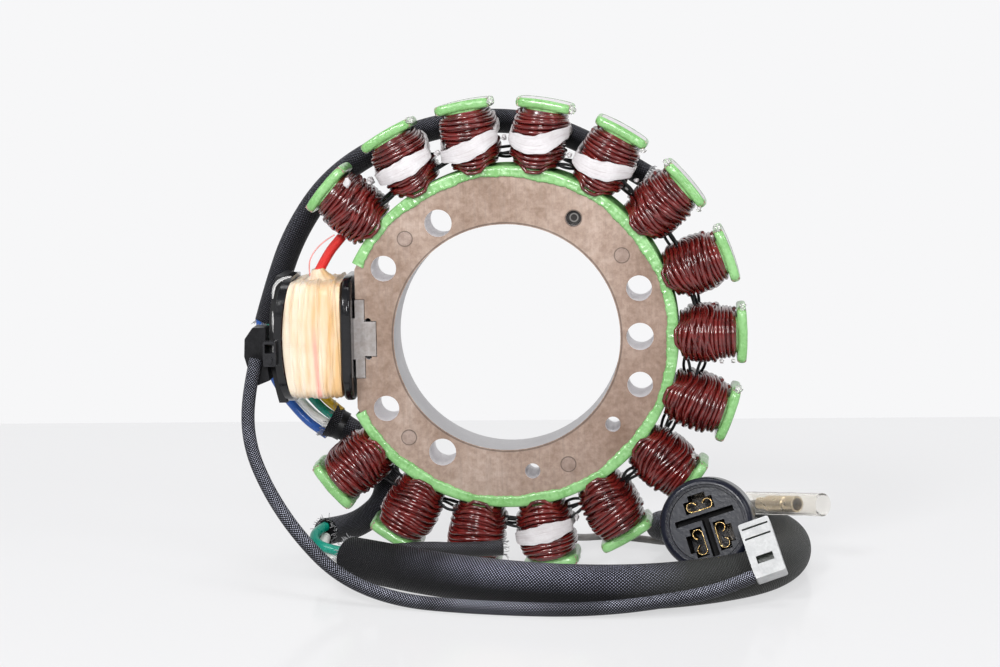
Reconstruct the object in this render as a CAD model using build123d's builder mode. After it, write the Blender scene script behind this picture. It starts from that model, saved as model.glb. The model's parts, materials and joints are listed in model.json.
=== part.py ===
# Wound stator of a small alternator, standing on edge on its two lowest poles.
# Millimetres, +Z up. The bore runs along Y and its open face looks towards -Y.
# The origin is on the table, under the middle of the standing object.

from build123d import *
import math
import os

os.makedirs("parts", exist_ok=True)

# Core: one riveted stack of sheet steel with a row of poles outside and a bore inside
outer_d = 116.0
bore_d = 55.0
root_d = 80.8
stack = 16.0
pole_pitch = 20.0
pole_count = 15
neck_w = 6.4
head_w = 12.8
head_t = 1.9
head_block = 15.2
flat_cut = 3.7
tongue_gap = 0.15

# Holes through the core
bolt_hole_d = 6.6
bolt_pcd = 64.5
bolt_count = 3
vent_hole_d = 6.2
vent_pcd = 68.4
vent_angles = (20, 150, 210, -20)
dowel_hole_d = 3.7
dowel_pcd = 66.4
dowel_angles = (-40, -80)
screw_angle = 60
rivet_d = 3.4
rivet_pcd = 68.6
rivet_angles = (35, 135, 225, -65)
rivet_proud = 0.15

# Clamp screw, driven in from behind
screw_head_d = 7.0
screw_head_t = 2.2
screw_tip_depth = 2.5

# Powder coat over the wound part of the core
coat_t = 0.6
coat_in_d = 77.8
coat_end_half = 17.6

# Coils: turns of enamelled wire wound round each neck
coil_w = 13.4
coil_deep = 2.9
coil_gap = 0.3
coil_corner = 3.4
turn_ridges = 8
turn_groove = 0.45
coil_belly = 0.5

# Lacing: share of a coil's length that a band covers, then coil's angle, lean across it, place
# along the coil in front as a share of its length, and whether it holds the sleeve
band_share = 0.31
band_t = 0.6
band_gap = 0.35
band_tuck = 1.5
bands = ((120, 2, 0.51, True), (100, 13, 0.42, True), (80, 15, 0.6, True),
         (60, 12, 0.48, True), (-80, 2, 0.51, False))

# Source coil: one long pole that plugs into the flat
tongue_wide_h = 19.0
tongue_wide_depth = 2.1
tongue_h = 8.4
tongue_depth = 4.9
stake_d = 1.5
source_neck_h = 10.0
source_head_h = 31.0
bobbin_gap = 0.1
tube_wall = 1.3
flange_h = 30.6
flange_deep = 28.0
flange_t = 2.6
flange_corner = 9.0
flange_round = 0.9
flange_gap = 0.5
end_flange_t = 1.8
tape_h = 29.0
tape_deep = 26.6
tape_corner = 5.0
tape_wraps = 6
tape_groove = 0.25
tape_t = 0.4
lug_h = 6.1
lug_w = 3.1
lug_t = 2.4
lug_corner = 0.5
lug_hole = 2.2
lug_hole_up = 1.3
lug_knob_d = 1.5
lug_knob_down = 1.5
lug_drop = 2.5
lug_overhang = 2.1

# Leads that the core carries, and their sleeves
upper_sleeve_d = 6.0
lower_sleeve_d = 6.6
lower_mouth_d = 9.2
lower_mouth_len = 4.2
wire_sleeve_d = 3.6
red_sleeve_d = 2.4
yellow_lead_d = 2.0
lead_d = 2.2
lead_gap = 0.2
lead_end_gap = 0.7
sleeve_gap = 0.2
bend_share = 0.45
boot_front = 13.0
boot_deep = 6.0
boot_round = 0.55

# Boot's outline: out from the core's rim, and up from the axis
boot_outline = ((0, 3.5), (3.2, 3.6), (5.2, 0.8), (5.4, -3.5), (4.0, -8.6), (3.2, -10.9), (-1, -9.2))

# Leads that lie free
harness_d = 10.5
tail_wire_d = 2.4
thin_lead_d = 3.2
plug_lead_d = 7.0
bullet_lead_d = 1.8

# Round connector
shell_in_d = 17.6
shell_wall = 2.2
shell_rear_wall = 1.0
shell_floor = 2.0
shell_len = 20.0
shell_front_len = 13.0
rim_step = 0.7
rim_step_depth = 1.2
rim_land = 0.1
insert_gap = 0.1
insert_recess = 1.8
insert_t = 12.0
connector_roll = 18.0
bar_w = 1.4
bar_up = 1.85
stem_w = 1.75
hook_inset = 1.35
hook_w = 0.9
hook_turn = 42.0
slot_depth = 7.0
cavity_w = 7.0
cavity_h = 2.9
cavity_key_w = 4.2
cavity_key_h = 1.25
cavities = ((-0.4, 3.35, 0), (-1.5, -3.6, 90), (1.35, -3.5, -90))
terminal_w = 6.3
terminal_t = 0.4
terminal_len = 8.0
terminal_recess = 1.0
terminal_gap = 0.1
curl_r = 1.25
curl_mouth = 0.9

# Terminal housing at the end of the thin lead
housing_w = 7.3
housing_h = 13.8
housing_t = 4.4
housing_round = 0.5
housing_slot_w = 6.2
housing_slot_h = 0.45
housing_slots = (5.4, 2.9)
housing_slot_depth = 0.8
window_w = 4.0
window_h = 1.9
window_up = -2.7
window_depth = 1.6

# Bullet terminal in its clear sleeve
clear_d = 5.6
clear_wall = 0.5
clear_len = 27.0
bullet_d = 4.0
bullet_in_d = 3.1
bullet_len = 13.6
bullet_from = 4.6
bullet_floor = 0.6
crimp_d = 3.0
crimp_len = 3.6
bead_at = 9.6
bead_w = 0.8
bead_depth = 0.3

# Routes of what the core carries: across and up from the core's axis, in outer radii
upper_route = ((-1.0724, 0.0293), (-1.0276, 0.181), (-0.9414, 0.4138), (-0.7828, 0.6414),
               (-0.5379, 0.7966), (-0.25, 0.8828), (0.0431, 0.8897), (0.319, 0.8034), (0.5759, 0.6414))
wire_sleeve_route = ((-0.0241, -0.8724), (-0.1897, -0.8828), (-0.3621, -0.8724), (-0.5086, -0.8862))

# Routes of what the core carries: across in outer radii, behind or before its resting depth in
# millimetres, and up in outer radii
lower_route = ((-0.8034, 0, -0.4), (-0.6828, 0.2, -0.4655), (-0.5586, 0.6, -0.5966),
               (-0.5621, -0.2, -0.7552), (-0.6586, -3.8, -0.8379), (-0.7414, -10.4, -0.85),
               (-0.7931, -18, -0.8345))
yellow_route = ((-1.0759, 12.4, -0.0414), (-1.0569, 4, -0.0483), (-1.0621, -6.2, -0.0621))

# Red sleeve: out from the flat, in depth, and up from the tape
red_route = ((4.5, 0, 9.1), (7.3, -2, 5.7), (9.6, -4, 0.9))

# The four leads between the sleeves: middle of the bundle, and how far it has opened into a row
bundle_route = ((-1.0793, 17.2, -0.0724, 0), (-0.9914, 17.2, -0.2172, 0.5),
                (-0.8724, 16.2, -0.3552, 0.9))

# Routes of what lies free: across and in depth from the core's axis, and up from the table
harness_route = ((-38, -15.8, 5.3), (-31.5, -20.8, 5.3), (-19.5, -32, 5.3), (-4, -42.2, 5.3),
                 (13.5, -49.4, 5.3), (31, -50.6, 5.3), (46.5, -44.8, 5.3), (60, -33.8, 5.3),
                 (66.9, -18.5, 5.3), (68.4, 0, 5.3), (65.6, 15.5, 5.3), (58.4, 26.2, 5.3),
                 (50, 30, 5.3))
plug_lead_route = ((49.7, 30.14, 5.3), (44.6, 32.2, 5.2), (39.2, 29, 5.4), (35.9, 22.6, 6),
                   (36.1, 14.6, 7), (39.2, 8.4, 8.2), (46.2, 1.2, 10.3), (49.52, -4.5, 12.02))
thin_lead_route = ((-56.6, -25.5, 24), (-48.5, -33, 14.4), (-38, -40.8, 6), (-24, -47.2, 1.75),
                   (-6, -54, 1.65), (14, -57.4, 1.65), (27, -57.8, 2.3), (38.5, -55.9, 3.4),
                   (48, -52.3, 4.4), (54.2, -48, 5.6), (58.1, -45.7, 6.7))
teal_route = ((-47.9, -8, 10.4), (-47.6, -12.5, 8.9), (-44.4, -15.2, 7.6), (-39.2, -15.1, 6.6))
white_route = ((-46, -8.5, 7.6), (-44.6, -12.4, 6.2), (-42.2, -14, 4.8), (-39.1, -15, 4))
bullet_lead_route = ((10, 13.6, 10), (11, 20.5, 4.4), (14.5, 29, 1.3), (22, 34, 0.95),
                     (30.5, 30.4, 0.95), (38.5, 24.4, 0.95), (45, 19.2, 2.6), (51.6, 16.8, 7.6),
                     (58, 15.5, 12.8))

# Where leads start: the thin one beyond the core's rim, in depth and up from the axis, and the
# two wires beside the middle of the lower sleeve's end
thin_lead_start = ((2.2, -14.8, -3.75), (4.4, -16.2, -12.95), (3.8, -19.5, -23.95))
teal_from = (-0.1, -0.4, 1.25)
white_from = (0.1, -0.8, -1.35)

# Places and directions of what the free leads end in
connector_front = (47.7, -30, 16.05)
connector_aim = (0.07, 0.98, -0.155)
housing_middle = (60.33, -43.5, 13.3)
housing_right = (0.943, 0, 0.332)
housing_aim = (-0.174, -0.85, 0.495)
clear_aim = (0.664, -0.738, 0.114)

# Sizes that follow
outer_r = outer_d / 2
root_r = root_d / 2
flat_reach = root_r - flat_cut
head_in_r = outer_r - head_t
neck_sunk = head_t / 3
pole_span = pole_pitch * (pole_count - 1)
coil_in_r = root_r + coat_t + coil_gap
coil_out_r = math.sqrt((head_in_r - coat_t) ** 2 - (coil_w / 2) ** 2) - sleeve_gap
coil_len = coil_out_r - coil_in_r
coil_front = stack / 2 + coat_t + coil_deep
band_w = band_share * coil_len
band_out = coil_front + band_gap + band_t
upper_depth = band_out + sleeve_gap + upper_sleeve_d / 2
lower_depth = coil_front + lead_gap + lower_sleeve_d / 2
wire_sleeve_depth = coil_front + lead_gap + wire_sleeve_d / 2
bobbin_end_r = head_in_r - bobbin_gap
tape_out_r = bobbin_end_r - end_flange_t - bobbin_gap
tape_in_r = flat_reach + flange_gap + flange_t + bobbin_gap
shell_d = shell_in_d + 2 * shell_wall
shell_rear_d = shell_in_d + 2 * shell_rear_wall
rim_round = shell_wall - rim_step - rim_land
hook_r = shell_in_d / 2 - insert_gap - hook_inset
bar_len = 2 * math.sqrt(hook_r ** 2 - bar_up ** 2)
stem_end = -hook_r - hook_w / 2

# Where the core's axis is: the two lowest poles stand on the table and the object's box is centred
lowest_turn = math.radians(pole_pitch / 2) - math.asin((head_w / 2 + coat_t) / outer_r)
left_reach = upper_sleeve_d / 2 - upper_route[0][0] * outer_r
back_reach = upper_depth + upper_sleeve_d / 2 + sleeve_gap + band_t
axis_x = (left_reach - outer_r) / 2
axis_y = (flange_deep / 2 + lug_t - back_reach) / 2
axis_z = outer_r * math.cos(lowest_turn)
axis = Vector(axis_x, axis_y, axis_z)

face = Plane(origin=axis, x_dir=(1, 0, 0), z_dir=(0, -1, 0))
back_face = face.offset(-stack / 2)


def save(builder, name):
    builder.part.label = name
    export_step(builder.part, f"parts/{name}.step")


def held(x, y, up):
    """A point that is fixed to the core, counted from its axis"""
    return axis + Vector(x, y, up)


def on_core(x, y, up):
    """A point that moves with the core's rim: across and up in outer radii, depth in millimetres"""
    return held(x * outer_r, y, up * outer_r)


def lying(points):
    """Points on the table's side, counted up from the table"""
    return [Vector(axis_x + x, axis_y + y, z) for x, y, z in points]


def pole_direction(angle):
    return Vector(math.cos(math.radians(angle)), 0, math.sin(math.radians(angle)))


def turned(plane, x=0, y=0, z=0):
    """A plane turned about its own axes"""
    return Plane(plane.location * Location((0, 0, 0), (x, y, z)))


def across(angle, radius):
    """Plane square to a pole, with x along the rim, y towards the open face and z outwards"""
    outwards = pole_direction(angle)
    return Plane(origin=axis + outwards * radius, x_dir=pole_direction(angle + 90), z_dir=outwards)


def ring_points(pcd, angles):
    return [(pcd / 2 * math.cos(math.radians(a)), pcd / 2 * math.sin(math.radians(a))) for a in angles]


def head_outline(angles, wide, inner_r):
    """Curved heads of poles, as rectangles cut to a ring"""
    with BuildSketch() as heads:
        for angle in angles:
            with Locations(Location((*ring_points(outer_d, (angle,))[0], 0), (0, 0, angle))):
                Rectangle(head_block, wide)
        Circle(outer_r, mode=Mode.INTERSECT)
        Circle(inner_r, mode=Mode.SUBTRACT)
    return heads.sketch


def iron_outline(grow):
    """Outline of the poles and the ring that carries them, grown by the coat's thickness"""
    pole_angles = [-pole_span / 2 + number * pole_pitch for number in range(pole_count)]
    heads = head_outline(pole_angles, head_w + 2 * grow, head_in_r - grow)
    neck_from = root_r - head_t
    neck_to = head_in_r + neck_sunk
    with BuildSketch() as outline:
        Circle(root_r + grow)
        with Locations((-flat_reach, 0)):
            Rectangle(outer_r, root_r, align=(Align.MAX, Align.CENTER), mode=Mode.SUBTRACT)
        with PolarLocations((neck_from + neck_to) / 2, pole_count, -pole_span / 2, pole_span, endpoint=True):
            Rectangle(neck_to - neck_from, neck_w + 2 * grow)
        add(heads)
    return outline.sketch


def tongue_outline(grow):
    """The stepped tongue that plugs into the flat, seen from the open face"""
    with BuildSketch() as outline:
        with Locations((-flat_reach - tongue_gap, 0)):
            for depth, wide in ((tongue_wide_depth, tongue_wide_h), (tongue_depth, tongue_h)):
                Rectangle(tongue_gap + depth + grow, wide + 2 * grow, align=(Align.MIN, Align.CENTER))
    return outline.sketch


def ridged(base, length, wide, deep, corner, ridges, groove, belly):
    """Turns side by side along a plane's z direction, as a ruled loft of chamfered rectangles"""
    steps = 2 * ridges
    with BuildPart() as turns:
        for step in range(steps + 1):
            along = step / steps
            inset = groove * (step % 2 == 0) + belly * (1 - math.sin(math.pi * along))
            with BuildSketch(base.offset(along * length)) as turn:
                Rectangle(wide - 2 * inset, deep - 2 * inset)
                chamfer(turn.vertices(), corner)
        loft(ruled=True)
    return turns.part


def arc_radii(points):
    """Radius at each inner point: a share of the shorter run over the tangent of half the turn"""
    radii = []
    for before, here, after in zip(points, points[1:], points[2:]):
        turn = math.radians((here - before).get_angle(after - here))
        shorter = min((here - before).length, (after - here).length)
        radii.append(bend_share * shorter / math.tan(turn / 2))
    return radii


def tube(points, diameter, name):
    """Round lead or sleeve along straight runs joined by tangent arcs"""
    radii = arc_radii(points)
    with BuildPart() as lead:
        with BuildLine() as path:
            FilletPolyline(*points, radius=radii)
        route = path.wire()
        with BuildSketch(Plane(origin=route @ 0, z_dir=route % 0)):
            Circle(diameter / 2)
        sweep()
    filled = lead.part.volume / (math.pi * diameter ** 2 / 4 * route.length)
    print(f"{name}: radii {', '.join(f'{r:.0f}' for r in radii)}, length {route.length:.1f},",
          f"volume over section times length {filled:.4f}")
    return lead, route


# Core
stake_u = -flat_reach + tongue_wide_depth + tongue_gap + stake_d / 2
stake_v = tongue_h / 2 + tongue_gap
with BuildPart() as core:
    with BuildSketch(back_face):
        add(iron_outline(0))
        Circle(bore_d / 2, mode=Mode.SUBTRACT)
        with PolarLocations(bolt_pcd / 2, bolt_count):
            Circle(bolt_hole_d / 2, mode=Mode.SUBTRACT)
        with Locations(ring_points(vent_pcd, vent_angles)):
            Circle(vent_hole_d / 2, mode=Mode.SUBTRACT)
        with Locations(ring_points(dowel_pcd, (*dowel_angles, screw_angle))):
            Circle(dowel_hole_d / 2, mode=Mode.SUBTRACT)
        with Locations(ring_points(rivet_pcd, rivet_angles)):
            Circle(rivet_d / 2, mode=Mode.SUBTRACT)
        add(tongue_outline(tongue_gap), mode=Mode.SUBTRACT)
        with Locations((stake_u, stake_v), (stake_u, -stake_v)):
            Circle(stake_d / 2, mode=Mode.SUBTRACT)
    extrude(amount=stack)
save(core, "core_laminations")

# Rivets that hold the stack together
with BuildPart() as rivets:
    with BuildSketch(back_face.offset(-rivet_proud)):
        with Locations(ring_points(rivet_pcd, rivet_angles)):
            Circle(rivet_d / 2)
    extrude(amount=stack + 2 * rivet_proud)
save(rivets, "core_rivets")

# Clamp screw, whose tip shows in its hole from the open face
with BuildPart() as screw:
    with BuildSketch(back_face):
        with Locations(ring_points(dowel_pcd, (screw_angle,))):
            Circle(dowel_hole_d / 2)
    extrude(amount=stack - screw_tip_depth)
    with BuildSketch(back_face):
        with Locations(ring_points(dowel_pcd, (screw_angle,))):
            Circle(screw_head_d / 2)
    extrude(amount=-screw_head_t)
save(screw, "clamp_screw")

# Powder coat: a skin over the roots, necks and heads, ground off the outer faces
with BuildPart() as coat:
    with BuildSketch(back_face.offset(-coat_t)):
        add(iron_outline(coat_t))
        Circle(coat_in_d / 2, mode=Mode.SUBTRACT)
        with Locations((-root_r, 0)):
            Rectangle(root_r, 2 * coat_end_half, mode=Mode.SUBTRACT)
    extrude(amount=stack + 2 * coat_t)
    add(core.part, mode=Mode.SUBTRACT)
save(coat, "insulation_coat")

# Coils, numbered from the one below the source coil, anticlockwise as seen from the open face
for number in range(pole_count):
    angle = -pole_span / 2 + number * pole_pitch
    with BuildPart() as coil:
        add(ridged(across(angle, coil_in_r), coil_len, coil_w, 2 * coil_front,
                   coil_corner, turn_ridges, turn_groove, coil_belly))
        with BuildSketch(across(angle, root_r)):
            Rectangle(neck_w + 2 * coat_t, stack + 2 * coat_t)
        extrude(amount=outer_r - root_r, mode=Mode.SUBTRACT)
    save(coil, f"coil_{number + 1:02d}")

# Braided sleeve laced to the backs of the upper coils
upper_points = [on_core(x, upper_depth, up) for x, up in upper_route]
upper_sleeve, upper_path = tube(upper_points, upper_sleeve_d, "upper_sleeve")
save(upper_sleeve, "upper_sleeve")


def over_pole(path, angle):
    """How far along the upper sleeve, from 0 to 1, it passes a pole"""
    low, high = 0.0, 1.0
    while high - low > 1e-5:
        middle = (low + high) / 2
        at = path @ middle - axis
        if math.degrees(math.atan2(at.Z, at.X)) > angle:
            low = middle
        else:
            high = middle
    return low


# Lacing: a band round each coil, and a loop of it round the sleeve behind
for number, (angle, lean, front_share, holds_sleeve) in enumerate(bands):
    front_r = coil_in_r + front_share * coil_len
    if holds_sleeve:
        place = over_pole(upper_path, angle)
        back_r = (upper_path @ place - axis).dot(pole_direction(angle)) - band_tuck
    else:
        back_r = front_r
    pitch = math.degrees(math.atan2(front_r - back_r, 2 * band_out))
    middle_r = (front_r + back_r) / 2
    wide = (coil_w + 2 * band_gap) / math.cos(math.radians(lean))
    deep = 2 * (coil_front + band_gap) / math.cos(math.radians(pitch))
    with BuildPart() as lacing:
        with BuildSketch(turned(across(angle, middle_r), pitch, lean)):
            RectangleRounded(wide + 2 * band_t, deep + 2 * band_t, coil_corner)
            RectangleRounded(wide, deep, coil_corner - band_t, mode=Mode.SUBTRACT)
        extrude(amount=band_w / 2, dir=pole_direction(angle), both=True)
        if holds_sleeve:
            with BuildSketch(Plane(origin=upper_path @ place, z_dir=upper_path % place)):
                Circle(upper_sleeve_d / 2 + sleeve_gap + band_t)
                Circle(upper_sleeve_d / 2 + sleeve_gap, mode=Mode.SUBTRACT)
            extrude(amount=band_w / 2, both=True)
    save(lacing, f"lacing_{number + 1}")

# Source coil's core: curved head, neck and tongue in one stack
with BuildPart() as source_core:
    with BuildSketch(back_face):
        add(head_outline((180,), source_head_h, head_in_r))
        with Locations((-flat_reach, 0)):
            Rectangle(head_in_r + neck_sunk - flat_reach, source_neck_h, align=(Align.MAX, Align.CENTER))
        add(tongue_outline(0))
    extrude(amount=stack)
save(source_core, "source_core")

# Its bobbin: a tube round the neck with a flat flange at the core and a curved one under the head
with BuildPart() as bobbin_end:
    with BuildSketch(across(180, flat_reach)):
        RectangleRounded(flange_h, flange_deep, flange_corner)
    extrude(amount=outer_r - flat_reach)
    with BuildSketch(face.offset(-flange_deep)):
        Circle(bobbin_end_r)
        Circle(bobbin_end_r - end_flange_t, mode=Mode.SUBTRACT)
    extrude(amount=2 * flange_deep, mode=Mode.INTERSECT)
tube_h = source_neck_h + 2 * (bobbin_gap + tube_wall)
tube_deep = stack + 2 * (bobbin_gap + tube_wall)
with BuildPart() as bobbin:
    with BuildSketch(across(180, flat_reach + flange_gap)):
        RectangleRounded(flange_h, flange_deep, flange_corner)
    extrude(amount=flange_t)
    fillet(bobbin.edges().group_by(Axis.X)[0] + bobbin.edges().group_by(Axis.X)[-1], flange_round)
    with BuildSketch(across(180, flat_reach + flange_gap)):
        Rectangle(tube_h, tube_deep)
    extrude(amount=bobbin_end_r - end_flange_t / 2 - flat_reach - flange_gap)
    add(bobbin_end.part)
    with BuildSketch(across(180, flat_reach)):
        Rectangle(source_neck_h + 2 * bobbin_gap, stack + 2 * bobbin_gap)
    extrude(amount=outer_r - flat_reach, mode=Mode.SUBTRACT)
save(bobbin, "source_bobbin")

# Its winding between the flanges, and the tape wrapped over it
under_tape = tape_groove + tape_t
with BuildSketch() as wound:
    Rectangle(tape_h - 2 * under_tape, tape_deep - 2 * under_tape)
    chamfer(wound.vertices(), tape_corner - under_tape)
with BuildSketch(face.offset(-flange_deep)) as under_head:
    Circle(tape_out_r)
with BuildPart() as winding:
    with BuildSketch(across(180, tape_in_r)):
        add(wound.sketch)
        Rectangle(tube_h, tube_deep, mode=Mode.SUBTRACT)
    extrude(amount=tape_out_r - tape_in_r)
    extrude(under_head.sketch, amount=2 * flange_deep, mode=Mode.INTERSECT)
save(winding, "source_winding")
with BuildPart() as tape:
    add(ridged(across(180, tape_in_r), tape_out_r - tape_in_r, tape_h, tape_deep,
               tape_corner, tape_wraps, tape_groove, 0))
    extrude(under_head.sketch, amount=2 * flange_deep, mode=Mode.INTERSECT)
    with BuildSketch(across(180, tape_in_r)):
        add(wound.sketch)
    extrude(amount=tape_out_r - tape_in_r, mode=Mode.SUBTRACT)
save(tape, "source_tape")

# Terminal lug on the front edge of the curved flange
lug_x = -outer_r - lug_overhang + lug_w / 2 + end_flange_t
with BuildPart() as lug:
    with BuildSketch(face.offset(flange_deep / 2)):
        with Locations((lug_x, -lug_drop)):
            RectangleRounded(lug_w, lug_h, lug_corner)
            with Locations((0, lug_hole_up)):
                Rectangle(lug_hole, lug_hole, mode=Mode.SUBTRACT)
    extrude(amount=lug_t)
    with BuildSketch(face.offset(flange_deep / 2 + lug_t)):
        with Locations((lug_x, -lug_drop - lug_knob_down)):
            Circle(lug_knob_d / 2)
    extrude(amount=lug_knob_d / 2)
save(lug, "terminal_lug")

# Moulded boot where the thin lead leaves, seated on the source coil's head
with BuildPart() as boot:
    with BuildSketch(face.offset(boot_front - boot_deep)) as boot_side:
        with BuildLine():
            Polyline(*[(-outer_r - out, up) for out, up in boot_outline], close=True)
        make_face()
        fillet(boot_side.vertices(), boot_round)
        Circle(outer_r + bobbin_gap, mode=Mode.SUBTRACT)
    extrude(amount=boot_deep)
save(boot, "lead_boot")

# Leads and sleeves round the source coil
red_points = [held(-flat_reach - out, y, tape_h / 2 + up) for out, y, up in red_route]
red_sleeve, _ = tube(red_points, red_sleeve_d, "red_sleeve")
save(red_sleeve, "red_sleeve")
yellow_points = [on_core(x, y, up) for x, y, up in yellow_route]
lead_yellow, _ = tube(yellow_points, yellow_lead_d, "lead_to_boot")
save(lead_yellow, "lead_to_boot")

lower_points = [on_core(x, lower_depth + behind, up) for x, behind, up in lower_route]
lower_sleeve, lower_path = tube(lower_points, lower_sleeve_d, "lower_sleeve")
mouth_direction = lower_path % 0
with BuildPart() as lower_sleeve_and_mouth:
    add(lower_sleeve.part)
    with BuildSketch(Plane(origin=lower_path @ 0, z_dir=mouth_direction)):
        Circle(lower_mouth_d / 2)
    with BuildSketch(Plane(origin=lower_path @ 0 + mouth_direction * lower_mouth_len, z_dir=mouth_direction)):
        Circle(lower_sleeve_d / 2 - sleeve_gap)
    loft()
save(lower_sleeve_and_mouth, "lower_sleeve")

# Four leads from the upper sleeve to the lower one, first as a square bundle and then in a row
lead_names = ("lead_blue", "lead_white", "lead_teal", "lead_yellow")
bundle = [upper_path @ 0 - (upper_path % 0) * lead_end_gap]
bundle += [on_core(x, y, up) for x, y, up, _ in bundle_route]
bundle += [lower_path @ 0 - mouth_direction * lead_end_gap]
openings = [0] + [opened for _, _, _, opened in bundle_route] + [1]
onwards = [after - before for before, after in zip(bundle[:1] + bundle, bundle[1:] + bundle[-1:])]
for number, name in enumerate(lead_names):
    points = []
    for middle, opened, onward in zip(bundle, openings, onwards):
        side = onward.cross(Vector(0, 1, 0)).normalized()
        square = side * (number // 2 - 0.5) + Vector(0, number % 2 - 0.5, 0)
        in_row = side * (number - (len(lead_names) - 1) / 2)
        offset_by = (square * (1 - opened) + in_row * opened) / math.hypot(1 - opened, opened)
        points.append(middle + offset_by * (lead_d + lead_gap))
    lead, _ = tube(points, lead_d, name)
    save(lead, name)

# Short braided sleeve over the joint in front of the lowest coils
wire_points = [on_core(x, -wire_sleeve_depth, up) for x, up in wire_sleeve_route]
wire_sleeve, _ = tube(wire_points, wire_sleeve_d, "joint_sleeve")
save(wire_sleeve, "joint_sleeve")

# Round connector
aim = Vector(*connector_aim).normalized()
mouth = Plane(origin=lying((connector_front,))[0], x_dir=(aim.Y, -aim.X, 0), z_dir=aim * -1)
mouth = turned(mouth, z=connector_roll)
with BuildPart() as shell:
    with BuildSketch(Plane(origin=mouth.origin, x_dir=mouth.x_dir, z_dir=mouth.y_dir)) as shell_side:
        with BuildLine():
            Polyline((shell_in_d / 2 + rim_step, 0), (shell_d / 2, 0), (shell_d / 2, shell_front_len),
                     (shell_rear_d / 2, shell_front_len), (shell_rear_d / 2, shell_len), (0, shell_len),
                     (0, shell_len - shell_floor), (shell_in_d / 2, shell_len - shell_floor),
                     (shell_in_d / 2, rim_step_depth), (shell_in_d / 2 + rim_step, rim_step_depth),
                     close=True)
        make_face()
        fillet(shell_side.vertices().group_by(Axis.Y)[0].sort_by(Axis.X)[-1], rim_round)
    revolve(axis=Axis(mouth.origin, mouth.z_dir))
save(shell, "connector_shell")

# Its insert: three keyed cavities, a T-shaped slot and two curved slots
insert_face = mouth.offset(-insert_recess)
with BuildPart() as insert:
    with BuildSketch(insert_face):
        Circle(shell_in_d / 2 - insert_gap)
        for x, y, turn in cavities:
            with Locations(Location((x, y, 0), (0, 0, turn))):
                for wide, high in ((cavity_w, cavity_h), (cavity_key_w, cavity_h + cavity_key_h)):
                    Rectangle(wide, high, align=(Align.CENTER, Align.MIN), mode=Mode.SUBTRACT)
    extrude(amount=-insert_t)
    with BuildSketch(insert_face):
        with Locations((0, bar_up)):
            Rectangle(bar_len, bar_w)
        with Locations((0, (bar_up + stem_end) / 2)):
            Rectangle(stem_w, bar_up - stem_end)
        bar_turn = math.degrees(math.asin(bar_up / hook_r))
        for start in (180 - bar_turn, bar_turn - hook_turn):
            SlotArc(CenterArc((0, 0), hook_r, start, hook_turn, mode=Mode.PRIVATE), hook_w)
    extrude(amount=-slot_depth, mode=Mode.SUBTRACT)
save(insert, "connector_insert")

# Its terminals: flat springs with both edges rolled inwards
with BuildPart() as terminals:
    with BuildSketch(insert_face.offset(-terminal_recess)):
        for x, y, turn in cavities:
            with Locations(Location((x, y, 0), (0, 0, turn))):
                with Locations((0, terminal_gap)):
                    Rectangle(terminal_w - 2 * curl_r, terminal_t, align=(Align.CENTER, Align.MIN))
                for side in (-1, 1):
                    with Locations((side * (terminal_w / 2 - curl_r), terminal_gap + curl_r)):
                        Circle(curl_r)
                for side in (-1, 1):
                    with Locations((side * (terminal_w / 2 - curl_r), terminal_gap + curl_r)):
                        Circle(curl_r - terminal_t, mode=Mode.SUBTRACT)
                    with Locations((side * (terminal_w / 2 - 2 * curl_r), terminal_gap + terminal_t)):
                        Rectangle(curl_mouth, curl_mouth, align=(Align.CENTER, Align.MIN), mode=Mode.SUBTRACT)
    extrude(amount=-terminal_len)
save(terminals, "connector_terminals")

# Terminal housing
housing_face = Plane(origin=lying((housing_middle,))[0], x_dir=housing_right, z_dir=housing_aim)
with BuildPart() as housing:
    with BuildSketch(housing_face):
        RectangleRounded(housing_w, housing_h, housing_round)
    extrude(amount=-housing_t)
    with BuildSketch(housing_face):
        for up in housing_slots:
            with Locations((0, up)):
                Rectangle(housing_slot_w, housing_slot_h)
    extrude(amount=-housing_slot_depth, mode=Mode.SUBTRACT)
    with BuildSketch(housing_face):
        with Locations((0, window_up)):
            Rectangle(window_w, window_h)
    extrude(amount=-window_depth, mode=Mode.SUBTRACT)
save(housing, "terminal_housing")

# Bullet terminal and its clear sleeve
bullet_aim = Vector(*clear_aim).normalized()
clear_start = Plane(origin=lying((bullet_lead_route[-1],))[0], z_dir=bullet_aim)
with BuildPart() as clear_sleeve:
    with BuildSketch(clear_start):
        Circle(clear_d / 2)
        Circle(clear_d / 2 - clear_wall, mode=Mode.SUBTRACT)
    extrude(amount=clear_len)
save(clear_sleeve, "bullet_sleeve")

bore_from = bullet_from + crimp_len + bullet_floor
with BuildPart() as bullet:
    with BuildSketch(Plane(origin=clear_start.origin, x_dir=clear_start.x_dir, z_dir=clear_start.y_dir * -1)):
        with BuildLine():
            Polyline((0, bullet_from), (crimp_d / 2, bullet_from), (crimp_d / 2, bullet_from + crimp_len),
                     (bullet_d / 2, bullet_from + crimp_len), (bullet_d / 2, bullet_from + bead_at),
                     (bullet_d / 2 - bead_depth, bullet_from + bead_at + bead_w / 2),
                     (bullet_d / 2, bullet_from + bead_at + bead_w), (bullet_d / 2, bullet_from + bullet_len),
                     (bullet_in_d / 2, bullet_from + bullet_len), (bullet_in_d / 2, bore_from),
                     (0, bore_from), close=True)
        make_face()
    revolve(axis=Axis(clear_start.origin, clear_start.z_dir))
save(bullet, "bullet_terminal")

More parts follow.
